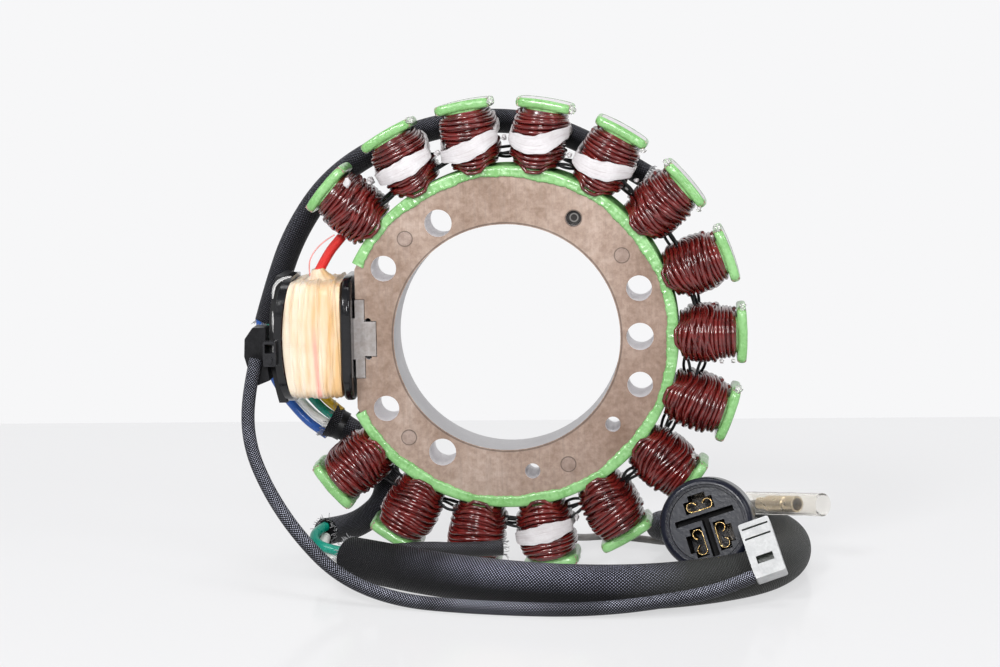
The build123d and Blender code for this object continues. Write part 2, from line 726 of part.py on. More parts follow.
# Leads that lie free
wires_from = lower_path @ 1
plug_end = mouth.origin + aim * (shell_len + lead_gap)
thin_start = [held(-outer_r - out, y, up) for out, y, up in thin_lead_start]
bullet_end = clear_start.origin + bullet_aim * (bullet_from - lead_gap)
free_leads = (
    ("harness_sleeve", harness_d, lying(harness_route)),
    ("tail_wire_teal", tail_wire_d, [wires_from + Vector(*teal_from)] + lying(teal_route)),
    ("tail_wire_white", tail_wire_d, [wires_from + Vector(*white_from)] + lying(white_route)),
    ("plug_lead", plug_lead_d, lying(plug_lead_route) + [plug_end]),
    ("thin_lead", thin_lead_d, thin_start + lying(thin_lead_route)),
    ("bullet_lead", bullet_lead_d, lying(bullet_lead_route) + [bullet_end]),
)
for name, diameter, points in free_leads:
    lead, _ = tube(points, diameter, name)
    save(lead, name)
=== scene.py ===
# Looks of a wound stator standing on its poles: enamelled turns, green powder coat, braided
# sleeves, lacing, tape and a round plug. Lengths of pieces are in millimetres until a mesh is written;
# the stage, the scale of textures and the depth of bumps are in metres.
import json
import math

import bpy
import numpy as np
from mathutils import Matrix


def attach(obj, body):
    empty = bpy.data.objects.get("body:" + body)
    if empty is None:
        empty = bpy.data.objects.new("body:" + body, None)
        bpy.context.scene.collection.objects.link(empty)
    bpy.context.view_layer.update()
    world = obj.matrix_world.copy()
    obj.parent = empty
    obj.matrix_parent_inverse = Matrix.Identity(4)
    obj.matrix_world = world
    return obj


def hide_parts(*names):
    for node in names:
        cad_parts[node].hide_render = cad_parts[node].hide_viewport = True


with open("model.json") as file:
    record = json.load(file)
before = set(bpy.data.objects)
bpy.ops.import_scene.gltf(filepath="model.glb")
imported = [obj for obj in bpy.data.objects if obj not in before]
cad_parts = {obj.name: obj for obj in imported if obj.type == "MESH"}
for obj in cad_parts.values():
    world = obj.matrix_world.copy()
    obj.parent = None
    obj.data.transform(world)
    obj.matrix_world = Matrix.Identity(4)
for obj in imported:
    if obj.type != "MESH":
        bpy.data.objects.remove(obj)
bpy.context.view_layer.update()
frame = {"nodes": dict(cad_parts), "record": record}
nodes = frame["nodes"]
mm = 0.001
boreMount = [m for m in frame["record"]["mounts"] if m["name"] == "rotor_bore"][0]
axisPoint = np.array(boreMount["pos_m"]) / mm


# Camera, from the vanishing of the ring's faces in the photograph
camera = {
    "place": (51.1, -675.0, 138.75),
    "yaw": 4.22,
    "pitch": -6.82,
    "roll": -1.03,
    "lens": 100.0,
}


def placeInScene(item, side, up, back, place):
    # a camera or lamp, which looks against its back direction
    matrix = np.eye(4)
    matrix[:3, 0], matrix[:3, 1], matrix[:3, 2], matrix[:3, 3] = side, up, back, place
    bpy.context.scene.collection.objects.link(item)
    item.matrix_world = Matrix(matrix.tolist())


def addCamera():
    # forward from yaw and pitch, then the side and up directions turned by the roll
    yaw, pitch, roll = (math.radians(camera[k]) for k in ("yaw", "pitch", "roll"))
    forward = np.array([-math.sin(yaw) * math.cos(pitch), math.cos(yaw) * math.cos(pitch),
                        math.sin(pitch)])
    level = np.array([math.cos(yaw), math.sin(yaw), 0.0])
    upright = np.cross(level, forward)
    side = math.cos(roll) * level + math.sin(roll) * upright
    up = -math.sin(roll) * level + math.cos(roll) * upright
    data = bpy.data.cameras.new("camera")
    data.lens = camera["lens"]
    data.sensor_width = 36.0
    data.clip_start = 0.01
    data.clip_end = 20.0
    eye = bpy.data.objects.new("camera", data)
    placeInScene(eye, side, up, -forward, np.array(camera["place"]) * mm)
    bpy.context.scene.camera = eye


addCamera()
print("camera placed")


# Grids of points and the faces between them

def unit(v):
    return v / np.linalg.norm(v, axis=-1, keepdims=True)


def roundAngles(count):
    # angles spread evenly over a full turn
    return np.linspace(0, 2 * np.pi, count, endpoint=False)


def gridFaces(rows, cols, closeRows=False, closeCols=False):
    # quads between neighbouring points of a grid, wrapping where it closes
    r, c = np.meshgrid(np.arange(rows if closeRows else rows - 1),
                       np.arange(cols if closeCols else cols - 1), indexing="ij")
    r2, c2 = (r + 1) % rows, (c + 1) % cols
    quads = np.stack([r * cols + c, r * cols + c2, r2 * cols + c2, r2 * cols + c], axis=-1)
    corners = np.stack([np.stack([c, r], -1), np.stack([c + 1, r], -1),
                        np.stack([c + 1, r + 1], -1), np.stack([c, r + 1], -1)], axis=2)
    return quads.reshape(-1, 4), corners.reshape(-1, 4, 2)


def patch(points, closeRows=False, closeCols=True, capStart=False, capEnd=False, finish=0, uvScale=None):
    # one grid surface; a cap is a fan from the middle of its first or last row
    rows, cols = points.shape[:2]
    verts = points.reshape(-1, 3)
    quads, corners = gridFaces(rows, cols, closeRows, closeCols)
    tris = []
    for wanted, row, order in ((capStart, 0, (0, 2, 1)), (capEnd, rows - 1, (0, 1, 2))):
        if wanted:
            c = np.arange(cols)
            fan = np.stack([np.full(cols, len(verts)), row * cols + c, row * cols + (c + 1) % cols], axis=-1)
            verts = np.vstack([verts, points[row].mean(axis=0)])
            tris.append(fan[:, order])
    return {"verts": verts, "quads": quads, "uvs": corners * np.array(uvScale or (1.0 / cols, 1.0)),
            "tris": np.vstack(tris) if tris else np.empty((0, 3), int), "finish": finish}


def rod(points, finish=0, uvScale=None):
    # a tube's surface closed at both ends
    return patch(points, capStart=True, capEnd=True, finish=finish, uvScale=uvScale)


def writePiece(name, patches, finishNames, replaced, sharp=60.0):
    # joins the patches into one mesh object that rides on the body
    verts, faces, uvs, finishOf, base = [], [], [], [], 0
    for p in patches:
        verts.append(p["verts"])
        faces += (p["quads"] + base).tolist() + (p["tris"] + base).tolist()
        uvs += [p["uvs"].reshape(-1, 2), np.zeros((p["tris"].size, 2))]
        finishOf.append(np.full(len(p["quads"]) + len(p["tris"]), p["finish"]))
        base += len(p["verts"])
    mesh = bpy.data.meshes.new(name)
    mesh.from_pydata((np.vstack(verts) * mm).tolist(), [], faces)
    mesh.uv_layers.new(name="UVMap").data.foreach_set("uv", np.vstack(uvs).ravel())
    mesh.polygons.foreach_set("material_index", np.concatenate(finishOf).astype(np.int32))
    mesh.shade_smooth()
    mesh.set_sharp_from_angle(angle=math.radians(sharp))
    for finishName in finishNames:
        mesh.materials.append(finishes[finishName])
    mesh.update()
    piece = bpy.data.objects.new(name, mesh)
    bpy.context.scene.collection.objects.link(piece)
    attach(piece, "root")
    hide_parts(replaced)
    return piece


def carriedFrame(points):
    # directions across a path, each the last one with its part along the path taken out
    tangent = unit(np.gradient(points, axis=0))
    start = np.eye(3)[np.argmin(abs(tangent[0]))]
    across = [unit(np.cross(tangent[0], start))]
    for t in tangent[1:]:
        across.append(unit(across[-1] - t * np.dot(across[-1], t)))
    across = np.array(across)
    return tangent, across, np.cross(tangent, across)


def circles(middles, size, around, across, other):
    # a circle round each point: middle + size (across cos + other sin)
    angle = roundAngles(around)[:, None]
    turned = np.cos(angle) * across[..., None, :] + np.sin(angle) * other[..., None, :]
    return middles[..., None, :] + np.asarray(size)[..., None] * turned


def tubeGrid(points, radius, around, relief=None):
    # circles carried along a path, swelled by the relief where there is one
    angle = roundAngles(around)
    size = np.broadcast_to(radius, (len(points),))[:, None] * np.ones(around)
    if relief is not None:
        size = size + relief(lengthAlong(points)[:, None], angle[None, :])
    return circles(points, size, around, *carriedFrame(points)[1:])


def lengthAlong(points):
    steps = np.linalg.norm(np.diff(points, axis=0), axis=1)
    return np.concatenate([[0.0], np.cumsum(steps)])


def manyTubes(paths, radius, around, finish):
    # thin open strands at once, each with one helper direction that none of its stations runs along
    tangent = unit(np.gradient(paths, axis=1))
    lead = unit(paths[:, -1] - paths[:, 0])
    helper = np.eye(3)[np.argmin(abs(lead), axis=1)][:, None, :]
    across = unit(np.cross(tangent, np.broadcast_to(helper, tangent.shape)))
    grids = circles(paths, radius, around, across, np.cross(tangent, across))
    return [patch(grid, finish=finish) for grid in grids]


def smoothRoute(points):
    # the smooth line that a soft thing follows, read back from a NURBS curve through its points
    curve = bpy.data.curves.new("route", "CURVE")
    curve.dimensions = "3D"
    curve.resolution_u = 14
    spline = curve.splines.new("NURBS")
    spline.points.add(len(points) - 1)
    for place, p in zip(spline.points, points):
        place.co = (*(np.array(p) * mm), 1.0)
    spline.order_u = 3
    spline.use_endpoint_u = True
    holder = bpy.data.objects.new("route", curve)
    bpy.context.scene.collection.objects.link(holder)
    bpy.context.view_layer.update()
    line = bpy.data.meshes.new_from_object(holder)
    read = np.empty(len(line.vertices) * 3)
    line.vertices.foreach_get("co", read)
    bpy.data.objects.remove(holder)
    bpy.data.curves.remove(curve)
    bpy.data.meshes.remove(line)
    return read.reshape(-1, 3) / mm


def evenly(points, spacing):
    # the same line with points a set distance apart
    along = lengthAlong(points)
    count = max(4, int(round(along[-1] / spacing)) + 1)
    wanted = np.linspace(0, along[-1], count)
    return np.stack([np.interp(wanted, along, points[:, k]) for k in range(3)], axis=-1)


def lying(points):
    return [(axisPoint[0] + x, axisPoint[1] + y, z) for x, y, z in points]


def held(points):
    return [(axisPoint[0] + x, axisPoint[1] + y, axisPoint[2] + z) for x, y, z in points]


# Finishes

class Wire:
    # a node's output: arithmetic on it, and each method, adds the node that does the same

    def __init__(self, tree, socket):
        self.tree = tree
        self.socket = socket

    def out(self, label):
        # another output of the same node
        return Wire(self.tree, self.socket.node.outputs[label])

    def math(self, operation, *others, clamp=False):
        return addNode(self.tree, "Math", [self, *others], operation=operation, use_clamp=clamp)

    def __add__(self, other):
        return self.math("ADD", other)

    def __sub__(self, other):
        return self.math("SUBTRACT", other)

    def __mul__(self, other):
        return self.math("MULTIPLY", other)

    def opposite(self):
        # one less the value
        return addNode(self.tree, "Math", [1.0, self], operation="SUBTRACT")

    def within(self, low, high, toLow=0.0, toHigh=1.0):
        # goes from one value to the other while this one goes from low to high
        return addNode(self.tree, "MapRange", {"Value": self, "From Min": low, "From Max": high,
                                               "To Min": toLow, "To Max": toHigh})

    def noise(self, scale, detail=4.0, rough=0.55):
        return addNode(self.tree, "TexNoise", {"Vector": self, "Scale": scale, "Detail": detail,
                                               "Roughness": rough})

    def stretched(self, scale):
        return addNode(self.tree, "Mapping", {"Vector": self, "Scale": scale})

    def xyz(self):
        node = addNode(self.tree, "SeparateXYZ", [self])
        return node.out("X"), node.out("Y"), node.out("Z")


def setInput(tree, socket, value):
    # a link from another node, a colour of three parts, or a plain value
    if isinstance(value, Wire):
        tree.links.new(value.socket, socket)
    elif socket.type == "RGBA":
        socket.default_value = (*value, 1.0)
    else:
        socket.default_value = value


def addNode(tree, kind, inputs, output=0, **settings):
    # inputs by their label, or in their order where they are a list
    node = tree.nodes.new("ShaderNode" + kind)
    for label, value in settings.items():
        setattr(node, label, value)
    for label, value in inputs.items() if isinstance(inputs, dict) else enumerate(inputs):
        setInput(tree, node.inputs[label], value)
    return Wire(tree, node.outputs[output])


def mixed(tree, factor, a, b, blend="MIX"):
    colorOutput = 2
    return addNode(tree, "Mix", {"Factor": factor, "A": a, "B": b}, colorOutput, data_type="RGBA",
                   blend_type=blend)


def mottle(vector, scale, color, patchColor, amount):
    # two scales of noise give a patchy colour and a height
    both = vector.noise(scale, 3.0) * 0.65 + vector.noise(scale * 7.0, 3.0) * 0.35
    factor = both.within(0.40, 0.62).math("MULTIPLY", amount, clamp=True)
    return mixed(vector.tree, factor, color, patchColor), both


def braidWeave(uv, strands, slant):
    # two families of slanted strands, each over one and under one of the other: height and raised tips
    u, v, _ = uv.xyz()
    around, along = u * strands, v * slant
    heights = []
    for sign in (1.0, -1.0):
        own, cross = around + along * sign, around - along * sign
        offset = own.math("FRACT") - 0.5
        crown = (offset * offset * 3.6).opposite()
        wave = ((cross + own.math("FLOOR")) * math.pi).math("SINE") * sign
        heights.append(crown * (wave * 0.5 + 0.5))
    height = heights[0].math("MAXIMUM", heights[1])
    return height, height.within(0.62, 0.92)


def ringMark(vector, centerX, centerZ, radius, width):
    # a thin circle about a line that runs from front to back
    x, _, z = vector.xyz()
    x, z = x - centerX, z - centerZ
    off = ((x * x + z * z).math("SQRT") - radius).math("ABSOLUTE")
    return (off.math("DIVIDE", width).within(1.0, 0.3),)


def newGroup(build, inputs, outputs):
    # a node group made by a function from wires to wires; each socket has a label and a kind
    tree = bpy.data.node_groups.new(build.__name__, "ShaderNodeTree")
    for way, sockets in (("INPUT", inputs), ("OUTPUT", outputs)):
        for label, kind in sockets.items():
            tree.interface.new_socket(name=label, in_out=way, socket_type="NodeSocket" + kind)
    start, end = tree.nodes.new("NodeGroupInput"), tree.nodes.new("NodeGroupOutput")
    made = build(*(Wire(tree, start.outputs[label]) for label in inputs))
    for label, wire in zip(outputs, made):
        setInput(tree, end.inputs[label], wire)
    return tree


groups = {
    "mottle": newGroup(mottle, {"Vector": "Vector", "Scale": "Float", "Color": "Color", "Patch": "Color",
                                "Amount": "Float"}, {"Color": "Color", "Height": "Float"}),
    "braid": newGroup(braidWeave, {"UV": "Vector", "Strands": "Float", "Slant": "Float"},
                      {"Height": "Float", "Tip": "Float"}),
    "ring": newGroup(ringMark, {"Vector": "Vector", "CenterX": "Float", "CenterZ": "Float",
                                "Radius": "Float", "Width": "Float"}, {"Mask": "Float"}),
}
# circles on the steel: radius and angle of the middle, then the circle's own radius and width
marks = {
    "rivets": [(34.3, angle, 1.78, 0.26) for angle in (35, 135, 225, -65)],
    "edges": [(33.2, 60, 1.95, 0.25), (0.0, 0, 27.85, 0.25)],
    "screw": (33.2, 60, 0.95, 0.22),
    "boreWallShade": (0.0, 0, boreMount["dims"]["r_mm"], 2.4),
}
toRight = (1.0, 0.0, 0.0)
toFront = (0.0, -1.0, 0.0)
toLeft = (-1.0, 0.0, 0.0)
downwards = (0.0, 0.0, -1.0)


class Finish:
    # one material: a Principled shader with the nodes that feed it

    def __init__(self, name, **sockets):
        self.material = bpy.data.materials.new(name)
        self.material.use_nodes = True
        self.tree = self.material.node_tree
        self.shader = self.tree.nodes["Principled BSDF"]
        self.object = addNode(self.tree, "TexCoord", {}, "Object")
        self.uv = self.object.out("UV")
        self.feed(**sockets)

    def feed(self, **sockets):
        for label, value in sockets.items():
            setInput(self.tree, self.shader.inputs[label.replace("_", " ")], value)

    def use(self, key, *values):
        # the outputs of a shared group, with its inputs in their order
        node = addNode(self.tree, "Group", values, node_tree=groups[key]).socket.node
        return [Wire(self.tree, socket) for socket in node.outputs]

    def mix(self, *values):
        return mixed(self.tree, *values)

    def patchy(self, scale, color, patchColor, amount, spread=None):
        # two mottled colours, and a roughness that follows them: height from and to, roughness from and to
        tone, height = self.use("mottle", self.object, scale, color, patchColor, amount)
        self.feed(Base_Color=tone)
        if spread:
            self.feed(Roughness=height.within(*spread))
        return tone

    def ring(self, away, angle, radius, width):
        # mask of a circle whose middle lies on the face at a radius and angle from the core's axis
        a = math.radians(angle)
        return self.use("ring", self.object, (axisPoint[0] + away * math.cos(a)) * mm,
                        (axisPoint[2] + away * math.sin(a)) * mm, radius * mm, width * mm)[0]

    def reach(self, middle, direction, low, high, *to):
        # goes from 0 to 1, or between two other values, between two distances along a direction from a point
        start = float(np.dot(middle, direction))
        away = addNode(self.tree, "VectorMath", [self.object, direction], "Value", operation="DOT_PRODUCT")
        return away.within((start + low) * mm, (start + high) * mm, *to)

    def facing(self):
        # parts of the surface's own direction
        return addNode(self.tree, "NewGeometry", {}, "Normal").xyz()

    def bump(self, height, strength, distance):
        self.feed(Normal=addNode(self.tree, "Bump", {"Strength": strength, "Distance": distance,
                                                     "Height": height}, "Normal"))


def darker(color, share):
    return tuple(c * share for c in color)


def steelFinish(name, bare, patchColor, wall, seamed=0.0, rings=(), headFrom=None):
    # punched sheet: warm patches and fine speckle on the faces, sheet edges as lines on the walls,
    # dark rings where holes are edged, and nearly black beyond a distance to the left
    f = Finish(name, Metallic=0.5)
    patches, height = f.use("mottle", f.object, 55.0, bare, patchColor, 0.8)
    speckle, grain = f.use("mottle", f.object, 900.0, (1.0, 1.0, 1.0), (0.60, 0.53, 0.49), 0.6)
    rolled = f.object.stretched((1.0, 1.0, 0.07)).noise(1500.0, 2.0)
    color = f.mix(1.0, patches, speckle, "MULTIPLY")
    color = f.mix(rolled.within(0.5, 0.75, 0.0, 0.30), color, darker(bare, 0.55))
    # painted shade: the faces turn darker and browner towards the lower right
    shadedBrowner = f.mix(1.0, color, (0.74, 0.68, 0.65), "MULTIPLY")
    color = f.mix(f.reach(axisPoint, (0.94, 0.0, -0.34), 6.0, 40.0), color, shadedBrowner)
    rust = f.object.noise(210.0, 6.0, 0.75)
    color = f.mix(rust.within(0.66, 0.74, 0.0, 0.75), color, (0.13, 0.045, 0.02))
    side = f.facing()[1].math("ABSOLUTE").within(0.3, 0.1)
    color = f.mix(side * 0.9, color, wall)
    # painted shade: the bore's wall is darker than the other walls
    color = f.mix(f.ring(*marks["boreWallShade"]) * side, color, darker(wall, 0.55))
    sheets = (f.object.xyz()[1] * (2 * math.pi / mm)).math("SINE")
    color = f.mix(sheets.within(0.6, 1.0) * (side * seamed), color, darker(wall, 0.4))
    for mark in rings:
        color = f.mix(f.ring(*mark) * 0.7, color, (0.05, 0.035, 0.03))
    if headFrom is not None:
        color = f.mix(f.reach(axisPoint, toLeft, headFrom, headFrom + 1.0), color, (0.010, 0.010, 0.011))
    f.feed(Base_Color=color, Roughness=height.within(0.3, 0.7, 0.36, 0.6))
    f.bump(grain + rolled, 0.3, 0.0002)
    return f.material


def coatFinish(name, gloss=1.0):
    # thick green powder coat
    f = Finish(name, Coat_Weight=0.3 * gloss, Coat_Roughness=0.1, Specular_IOR_Level=0.5 * gloss)
    f.patchy(170.0, (0.170, 0.39, 0.125), (0.25, 0.51, 0.20), 0.85, (0.35, 0.65, 0.18, 0.42))
    f.bump(f.object.noise(700.0), 0.4, 0.0005)
    return f.material


def enamelFinish():
    f = Finish("wireEnamel", Specular_IOR_Level=0.8)
    f.patchy(230.0, (0.150, 0.012, 0.010), (0.034, 0.0035, 0.0035), 0.85, (0.35, 0.65, 0.12, 0.24))
    f.bump(f.object.noise(1400.0, 2.0), 0.12, 0.0002)
    return f.material


def braidFinish(name, strands, slant, dark=(0.002, 0.002, 0.003), glintColor=(0.34, 0.35, 0.47), low=0.1, shine=0.2,
                fades=(), paintedSheen=(0.030, 0.031, 0.029)):
    # dark strands whose raised tips carry painted glints, most where the braid faces up to the lamps, in
    # patches;
    # the glints fade along each span to the right, and along the first the strands turn paler as painted
    # sheen
    f = Finish(name, Specular_IOR_Level=shine)
    height, raised = f.use("braid", f.uv, strands, slant)
    glintPatches = f.object.noise(60.0, 3.0).within(0.36, 0.60, 0.45, 1.0)
    upward = f.facing()[2].within(-0.15, 0.65, low, 1.0)
    glintMask = (raised.math("POWER", 2.2) * glintPatches).math("MULTIPLY", upward, clamp=True)
    under = dark
    for span in fades:
        glintMask = glintMask * (f.reach(axisPoint, toRight, *span) * 0.96).opposite()
    if fades:
        under = f.mix(f.reach(axisPoint, toRight, *fades[0]), dark, paintedSheen)
    f.feed(Base_Color=f.mix(glintMask, under, glintColor), Roughness=raised.within(0.0, 1.0, 0.65, 0.3))
    f.bump(height, 0.9, 0.0003)
    return f.material


def plasticFinish(name, color, patchColor, rough=0.3, shine=0.4, scale=220.0, bump=0.06, amount=0.6,
                  metallic=0.0):
    f = Finish(name, Specular_IOR_Level=shine, Metallic=metallic)
    f.patchy(scale, color, patchColor, amount, (0.3, 0.7, rough * 0.75, rough * 1.35))
    f.bump(f.object.noise(scale * 5.0, 3.0), bump, 0.0004)
    return f.material


def screwFinish():
    # blackened screw with a bright ring where its cup point turns in
    f = Finish("screwSteel", Roughness=0.3, Metallic=0.6)
    shade = f.patchy(600.0, (0.035, 0.032, 0.03), (0.010, 0.009, 0.009), 0.8)
    f.feed(Base_Color=f.mix(f.ring(*marks["screw"]), shade, (0.20, 0.19, 0.18)))
    return f.material


def insertFinish():
    # slate moulding with painted shade: its slots and cavities are near black below the face
    f = Finish("connectorInsert", Specular_IOR_Level=0.35)
    face = f.patchy(260.0, (0.008, 0.0095, 0.016), (0.013, 0.015, 0.024), 0.6)
    deep = f.reach(plugFront, plugAim, plug["recess"] + 0.15, plug["recess"] + 0.6)
    f.feed(Base_Color=f.mix(deep, face, (0.002, 0.002, 0.003)), Roughness=deep.within(0.0, 1.0, 0.32, 0.7))
    f.bump(f.object.noise(1300.0, 3.0), 0.12, 0.0004)
    return f.material


def housingFinish():
    # chalky white moulding with painted shade: dark in its slots and nearly black green in its window
    f = Finish("whiteHousing", Roughness=0.36, Specular_IOR_Level=0.4)
    face = f.patchy(260.0, (0.46, 0.465, 0.465), (0.31, 0.315, 0.32), 0.7)
    inside = f.reach(housing["middle"], housing["aim"], -0.1, -0.25)
    for direction, half in ((housing["right"], 3.15), (np.cross(housing["aim"], housing["right"]), 6.3)):
        for sign in (1, -1):
            inside = inside * f.reach(housing["middle"], sign * direction, -half, -half + 0.05)
    f.feed(Base_Color=f.mix(inside, face, (0.010, 0.014, 0.009)))
    f.bump(f.object.noise(1300.0, 3.0), 0.2, 0.0004)
    return f.material


def tapeFinish():
    # varnished woven tape: cream, amber where it is soaked, and a pink thread showing through in front
    f = Finish("varnishedTape", Roughness=0.38, Subsurface_Weight=0.12, Specular_IOR_Level=0.4,
               Subsurface_Radius=(0.002, 0.0012, 0.0006))
    bands = f.object.stretched((1.0, 0.5, 0.11)).noise(300.0)
    inward = f.reach(axisPoint, toRight, -52.0, -40.5, -0.10, 0.16)
    color = f.mix((bands + inward).within(0.42, 0.70), (0.74, 0.63, 0.50), (0.66, 0.42, 0.20))
    x, _, z = f.object.xyz()
    streak = (x - (axisPoint[0] - 46.2) * mm + (z - axisPoint[2] * mm) * 0.07).math("ABSOLUTE")
    thread = (f.reach(axisPoint, downwards, -4.5, 1.0) * streak.within(0.0008, 0.0003)
              * f.reach(axisPoint, toFront, 10.0, 12.0))
    f.feed(Base_Color=f.mix(thread * 0.75, color, (0.88, 0.36, 0.30)))
    weave = addNode(f.tree, "TexWave", {"Vector": f.object, "Scale": 700.0, "Distortion": 1.5}, "Fac",
                    wave_type="BANDS", bands_direction="Z")
    f.bump(weave * 0.12 + bands, 0.35, 0.0005)
    return f.material


def lacingFinish():
    # laid fibres: fine streaks along the ribbon from its own UV map
    f = Finish("lacingTape", Roughness=0.55, Specular_IOR_Level=0.3)
    fibres = f.uv.stretched((26.0, 0.05, 1.0)).noise(1.6, 3.0, 0.6)
    tone = f.patchy(200.0, (0.62, 0.60, 0.61), (0.50, 0.47, 0.475), 0.6)
    f.feed(Base_Color=f.mix(fibres.within(0.5, 0.72, 0.0, 0.6), tone, (0.42, 0.37, 0.38)))
    f.bump(fibres, 0.5, 0.0004)
    return f.material


def clearFinish(name, color, rough, amount, bend):
    f = Finish(name, Roughness=rough, Transmission_Weight=amount, IOR=bend)
    f.patchy(120.0, color, darker(color, 0.93), 0.5)
    return f.material


# what the free leads end in: places and directions from the part
plug = {"front": (47.7, -30.0, 16.05), "aim": (0.07, 0.98, -0.155), "long": 20.0, "leadGap": 0.2,
        "recess": 1.8, "roll": 18.0}
plugAim = unit(np.array(plug["aim"]))
plugFront = np.array(lying([plug["front"]])[0])
housing = {
    "middle": np.array(lying([(60.33, -43.5, 13.3)])[0]),
    "aim": unit(np.array((-0.174, -0.85, 0.495))),
    "right": unit(np.array((0.943, 0.0, 0.332))),
}

finishes = {
    "steel": steelFinish("steelSheet", (0.40, 0.31, 0.258), (0.25, 0.170, 0.125), (0.90, 0.88, 0.90), 0.45,
                         marks["rivets"] + marks["edges"]),
    # the tongue's walls are near black: painted shade in the gap round the tongue
    "tongue": steelFinish("tongueSteel", (0.42, 0.39, 0.38), (0.30, 0.28, 0.27), (0.030, 0.027, 0.026),
                          headFrom=53.0),
    "rivet": steelFinish("rivetSteel", (0.36, 0.28, 0.24), (0.22, 0.16, 0.13), (0.03, 0.024, 0.02)),
    "screw": screwFinish(),
    "coat": coatFinish("powderCoat"),
    "coatWall": coatFinish("powderCoatWall", 0.0),
    "enamel": enamelFinish(),
    "lacing": lacingFinish(),
    "tape": tapeFinish(),
    "harness": braidFinish("harnessBraid", 44.0, 1.35, glintColor=(0.46, 0.47, 0.62), low=0.02,
                           fades=((26.0, 44.0), (-6.0, -26.0))),
    "joint": braidFinish("jointBraid", 16.0, 1.5, glintColor=(0.20, 0.20, 0.24), low=0.03, shine=0.5),
    "plugLead": braidFinish("plugLeadBraid", 30.0, 1.4),
    "thinLead": braidFinish("thinLeadBraid", 14.0, 1.5, glintColor=(0.60, 0.62, 0.76), low=0.3),
    "sleeve": braidFinish("sleeveBraid", 30.0, 1.7, glintColor=(0.24, 0.245, 0.30), low=0.15),
    "redBraid": braidFinish("redBraid", 10.0, 1.3, (0.90, 0.004, 0.006), (1.0, 0.42, 0.36), 0.4, 0.35),
    "insert": insertFinish(),
    "housing": housingFinish(),
    "clear": clearFinish("clearSleeve", (0.98, 0.96, 0.92), 0.20, 0.92, 1.08),
    "varnish": clearFinish("varnishDrip", (0.93, 0.92, 0.91), 0.1, 0.7, 1.3),
}
# name, colour, patch colour, roughness and gloss, then scale, bump, amount of patches and metal where
# they differ
plastics = {
    "bobbin": ("bobbinPlastic", (0.004, 0.004, 0.005), (0.009, 0.009, 0.011), 0.14, 0.45, 200.0, 0.08),
    "boot": ("bootRubber", (0.004, 0.004, 0.005), (0.010, 0.010, 0.012), 0.36, 0.2, 240.0, 0.1),
    "lug": ("lugPlastic", (0.006, 0.006, 0.008), (0.016, 0.016, 0.019), 0.28, 0.35, 300.0, 0.1),
    "blue": ("blueLead", (0.010, 0.070, 0.30), (0.012, 0.085, 0.36), 0.28, 0.5),
    "white": ("whiteLead", (0.80, 0.80, 0.77), (0.70, 0.69, 0.66), 0.3, 0.4),
    "teal": ("tealLead", (0.0, 0.235, 0.165), (0.0, 0.28, 0.20), 0.28, 0.5),
    "yellow": ("yellowLead", (0.72, 0.47, 0.018), (0.62, 0.38, 0.015), 0.28, 0.5),
    "slate": ("connectorShell", (0.005, 0.006, 0.013), (0.008, 0.0095, 0.019), 0.28, 0.28, 260.0, 0.12),
    "brass": ("brightBrass", (0.85, 0.62, 0.28), (0.50, 0.32, 0.12), 0.2, 0.5, 400.0, 0.1, 0.7, 1.0),
    "paleBrass": ("paleBrass", (0.72, 0.60, 0.42), (0.52, 0.40, 0.24), 0.3, 0.5, 300.0, 0.2, 0.7, 0.8),
    "greyLead": ("greyLead", (0.30, 0.29, 0.28), (0.22, 0.21, 0.20), 0.4, 0.3),
    "fibre": ("cutFibre", (0.36, 0.36, 0.37), (0.12, 0.12, 0.12), 0.5, 0.2),
    "thread": ("pinkThread", (0.75, 0.30, 0.28), (0.62, 0.20, 0.18), 0.4, 0.3),
}
for finishName, made in plastics.items():
    finishes[finishName] = plasticFinish(*made)
print("finishes made:", len(finishes))


# CAD nodes that keep their own shape
keptNodes = {
    "core_laminations": "steel", "core_rivets": "rivet", "clamp_screw": "screw", "source_core": "tongue",
    "source_bobbin": "bobbin", "source_winding": "enamel", "terminal_lug": "lug", "lead_boot": "boot",
    "connector_shell": "slate", "connector_insert": "insert", "terminal_housing": "housing",
    "bullet_terminal": "paleBrass",
}
for nodeName, finishName in keptNodes.items():
    nodes[nodeName].data.materials.clear()
    nodes[nodeName].data.materials.append(finishes[finishName])
print("CAD nodes dressed:", len(keptNodes))


# Pole frame: outwards, along the rim and towards the open face
poles = {"pitch": 20.0, "count": 15, "headRadius": 58.0}


def poleAngle(number):
    return (number - poles["count"] // 2) * poles["pitch"]


def poleAxes(angle):
    a = math.radians(angle)
    outwards = np.array([math.cos(a), 0.0, math.sin(a)])
    rim = np.array([-math.sin(a), 0.0, math.cos(a)])
    return outwards, rim, np.array([0.0, -1.0, 0.0])


def squareLoop(theta, wide, deep, power):
    # a rounded rectangle in polar form: the power mean of its two half sizes along each direction
    c, s = np.cos(theta), np.sin(theta)
    reach = ((abs(c) / wide) ** power + (abs(s) / deep) ** power) ** (-1.0 / power)
    return reach * c, reach * s


# Coils: every turn of wire
coil = {
    "inner": 41.75,
    "outer": 55.5,
    "wide": 5.95,
    "deep": 10.7,
    "power": 2.7,
    "wire": 0.47,
    "turns": 14,
    "stations": 40,
    "around": 8,
    "wander": 0.08,
    "lift": 0.09,
    "sag": 1.8,
    "sagFrom": 8.9,
    "endPinch": 0.45,
    "rootPinch": 0.4,
    "seed": 11,
    "loose": {"grow": 0.66, "wander": 0.18, "lift": 0.12, "slant": 0.62},
}
# short wires from one coil to the next
crossing = {"count": 4, "wire": 0.36, "around": 8, "side": 5.2, "depth": (-6.0, 7.0), "radius": (43.6, 46.8),
            "depthWander": 1.2, "radiusWander": 0.8, "bow": 0.9}
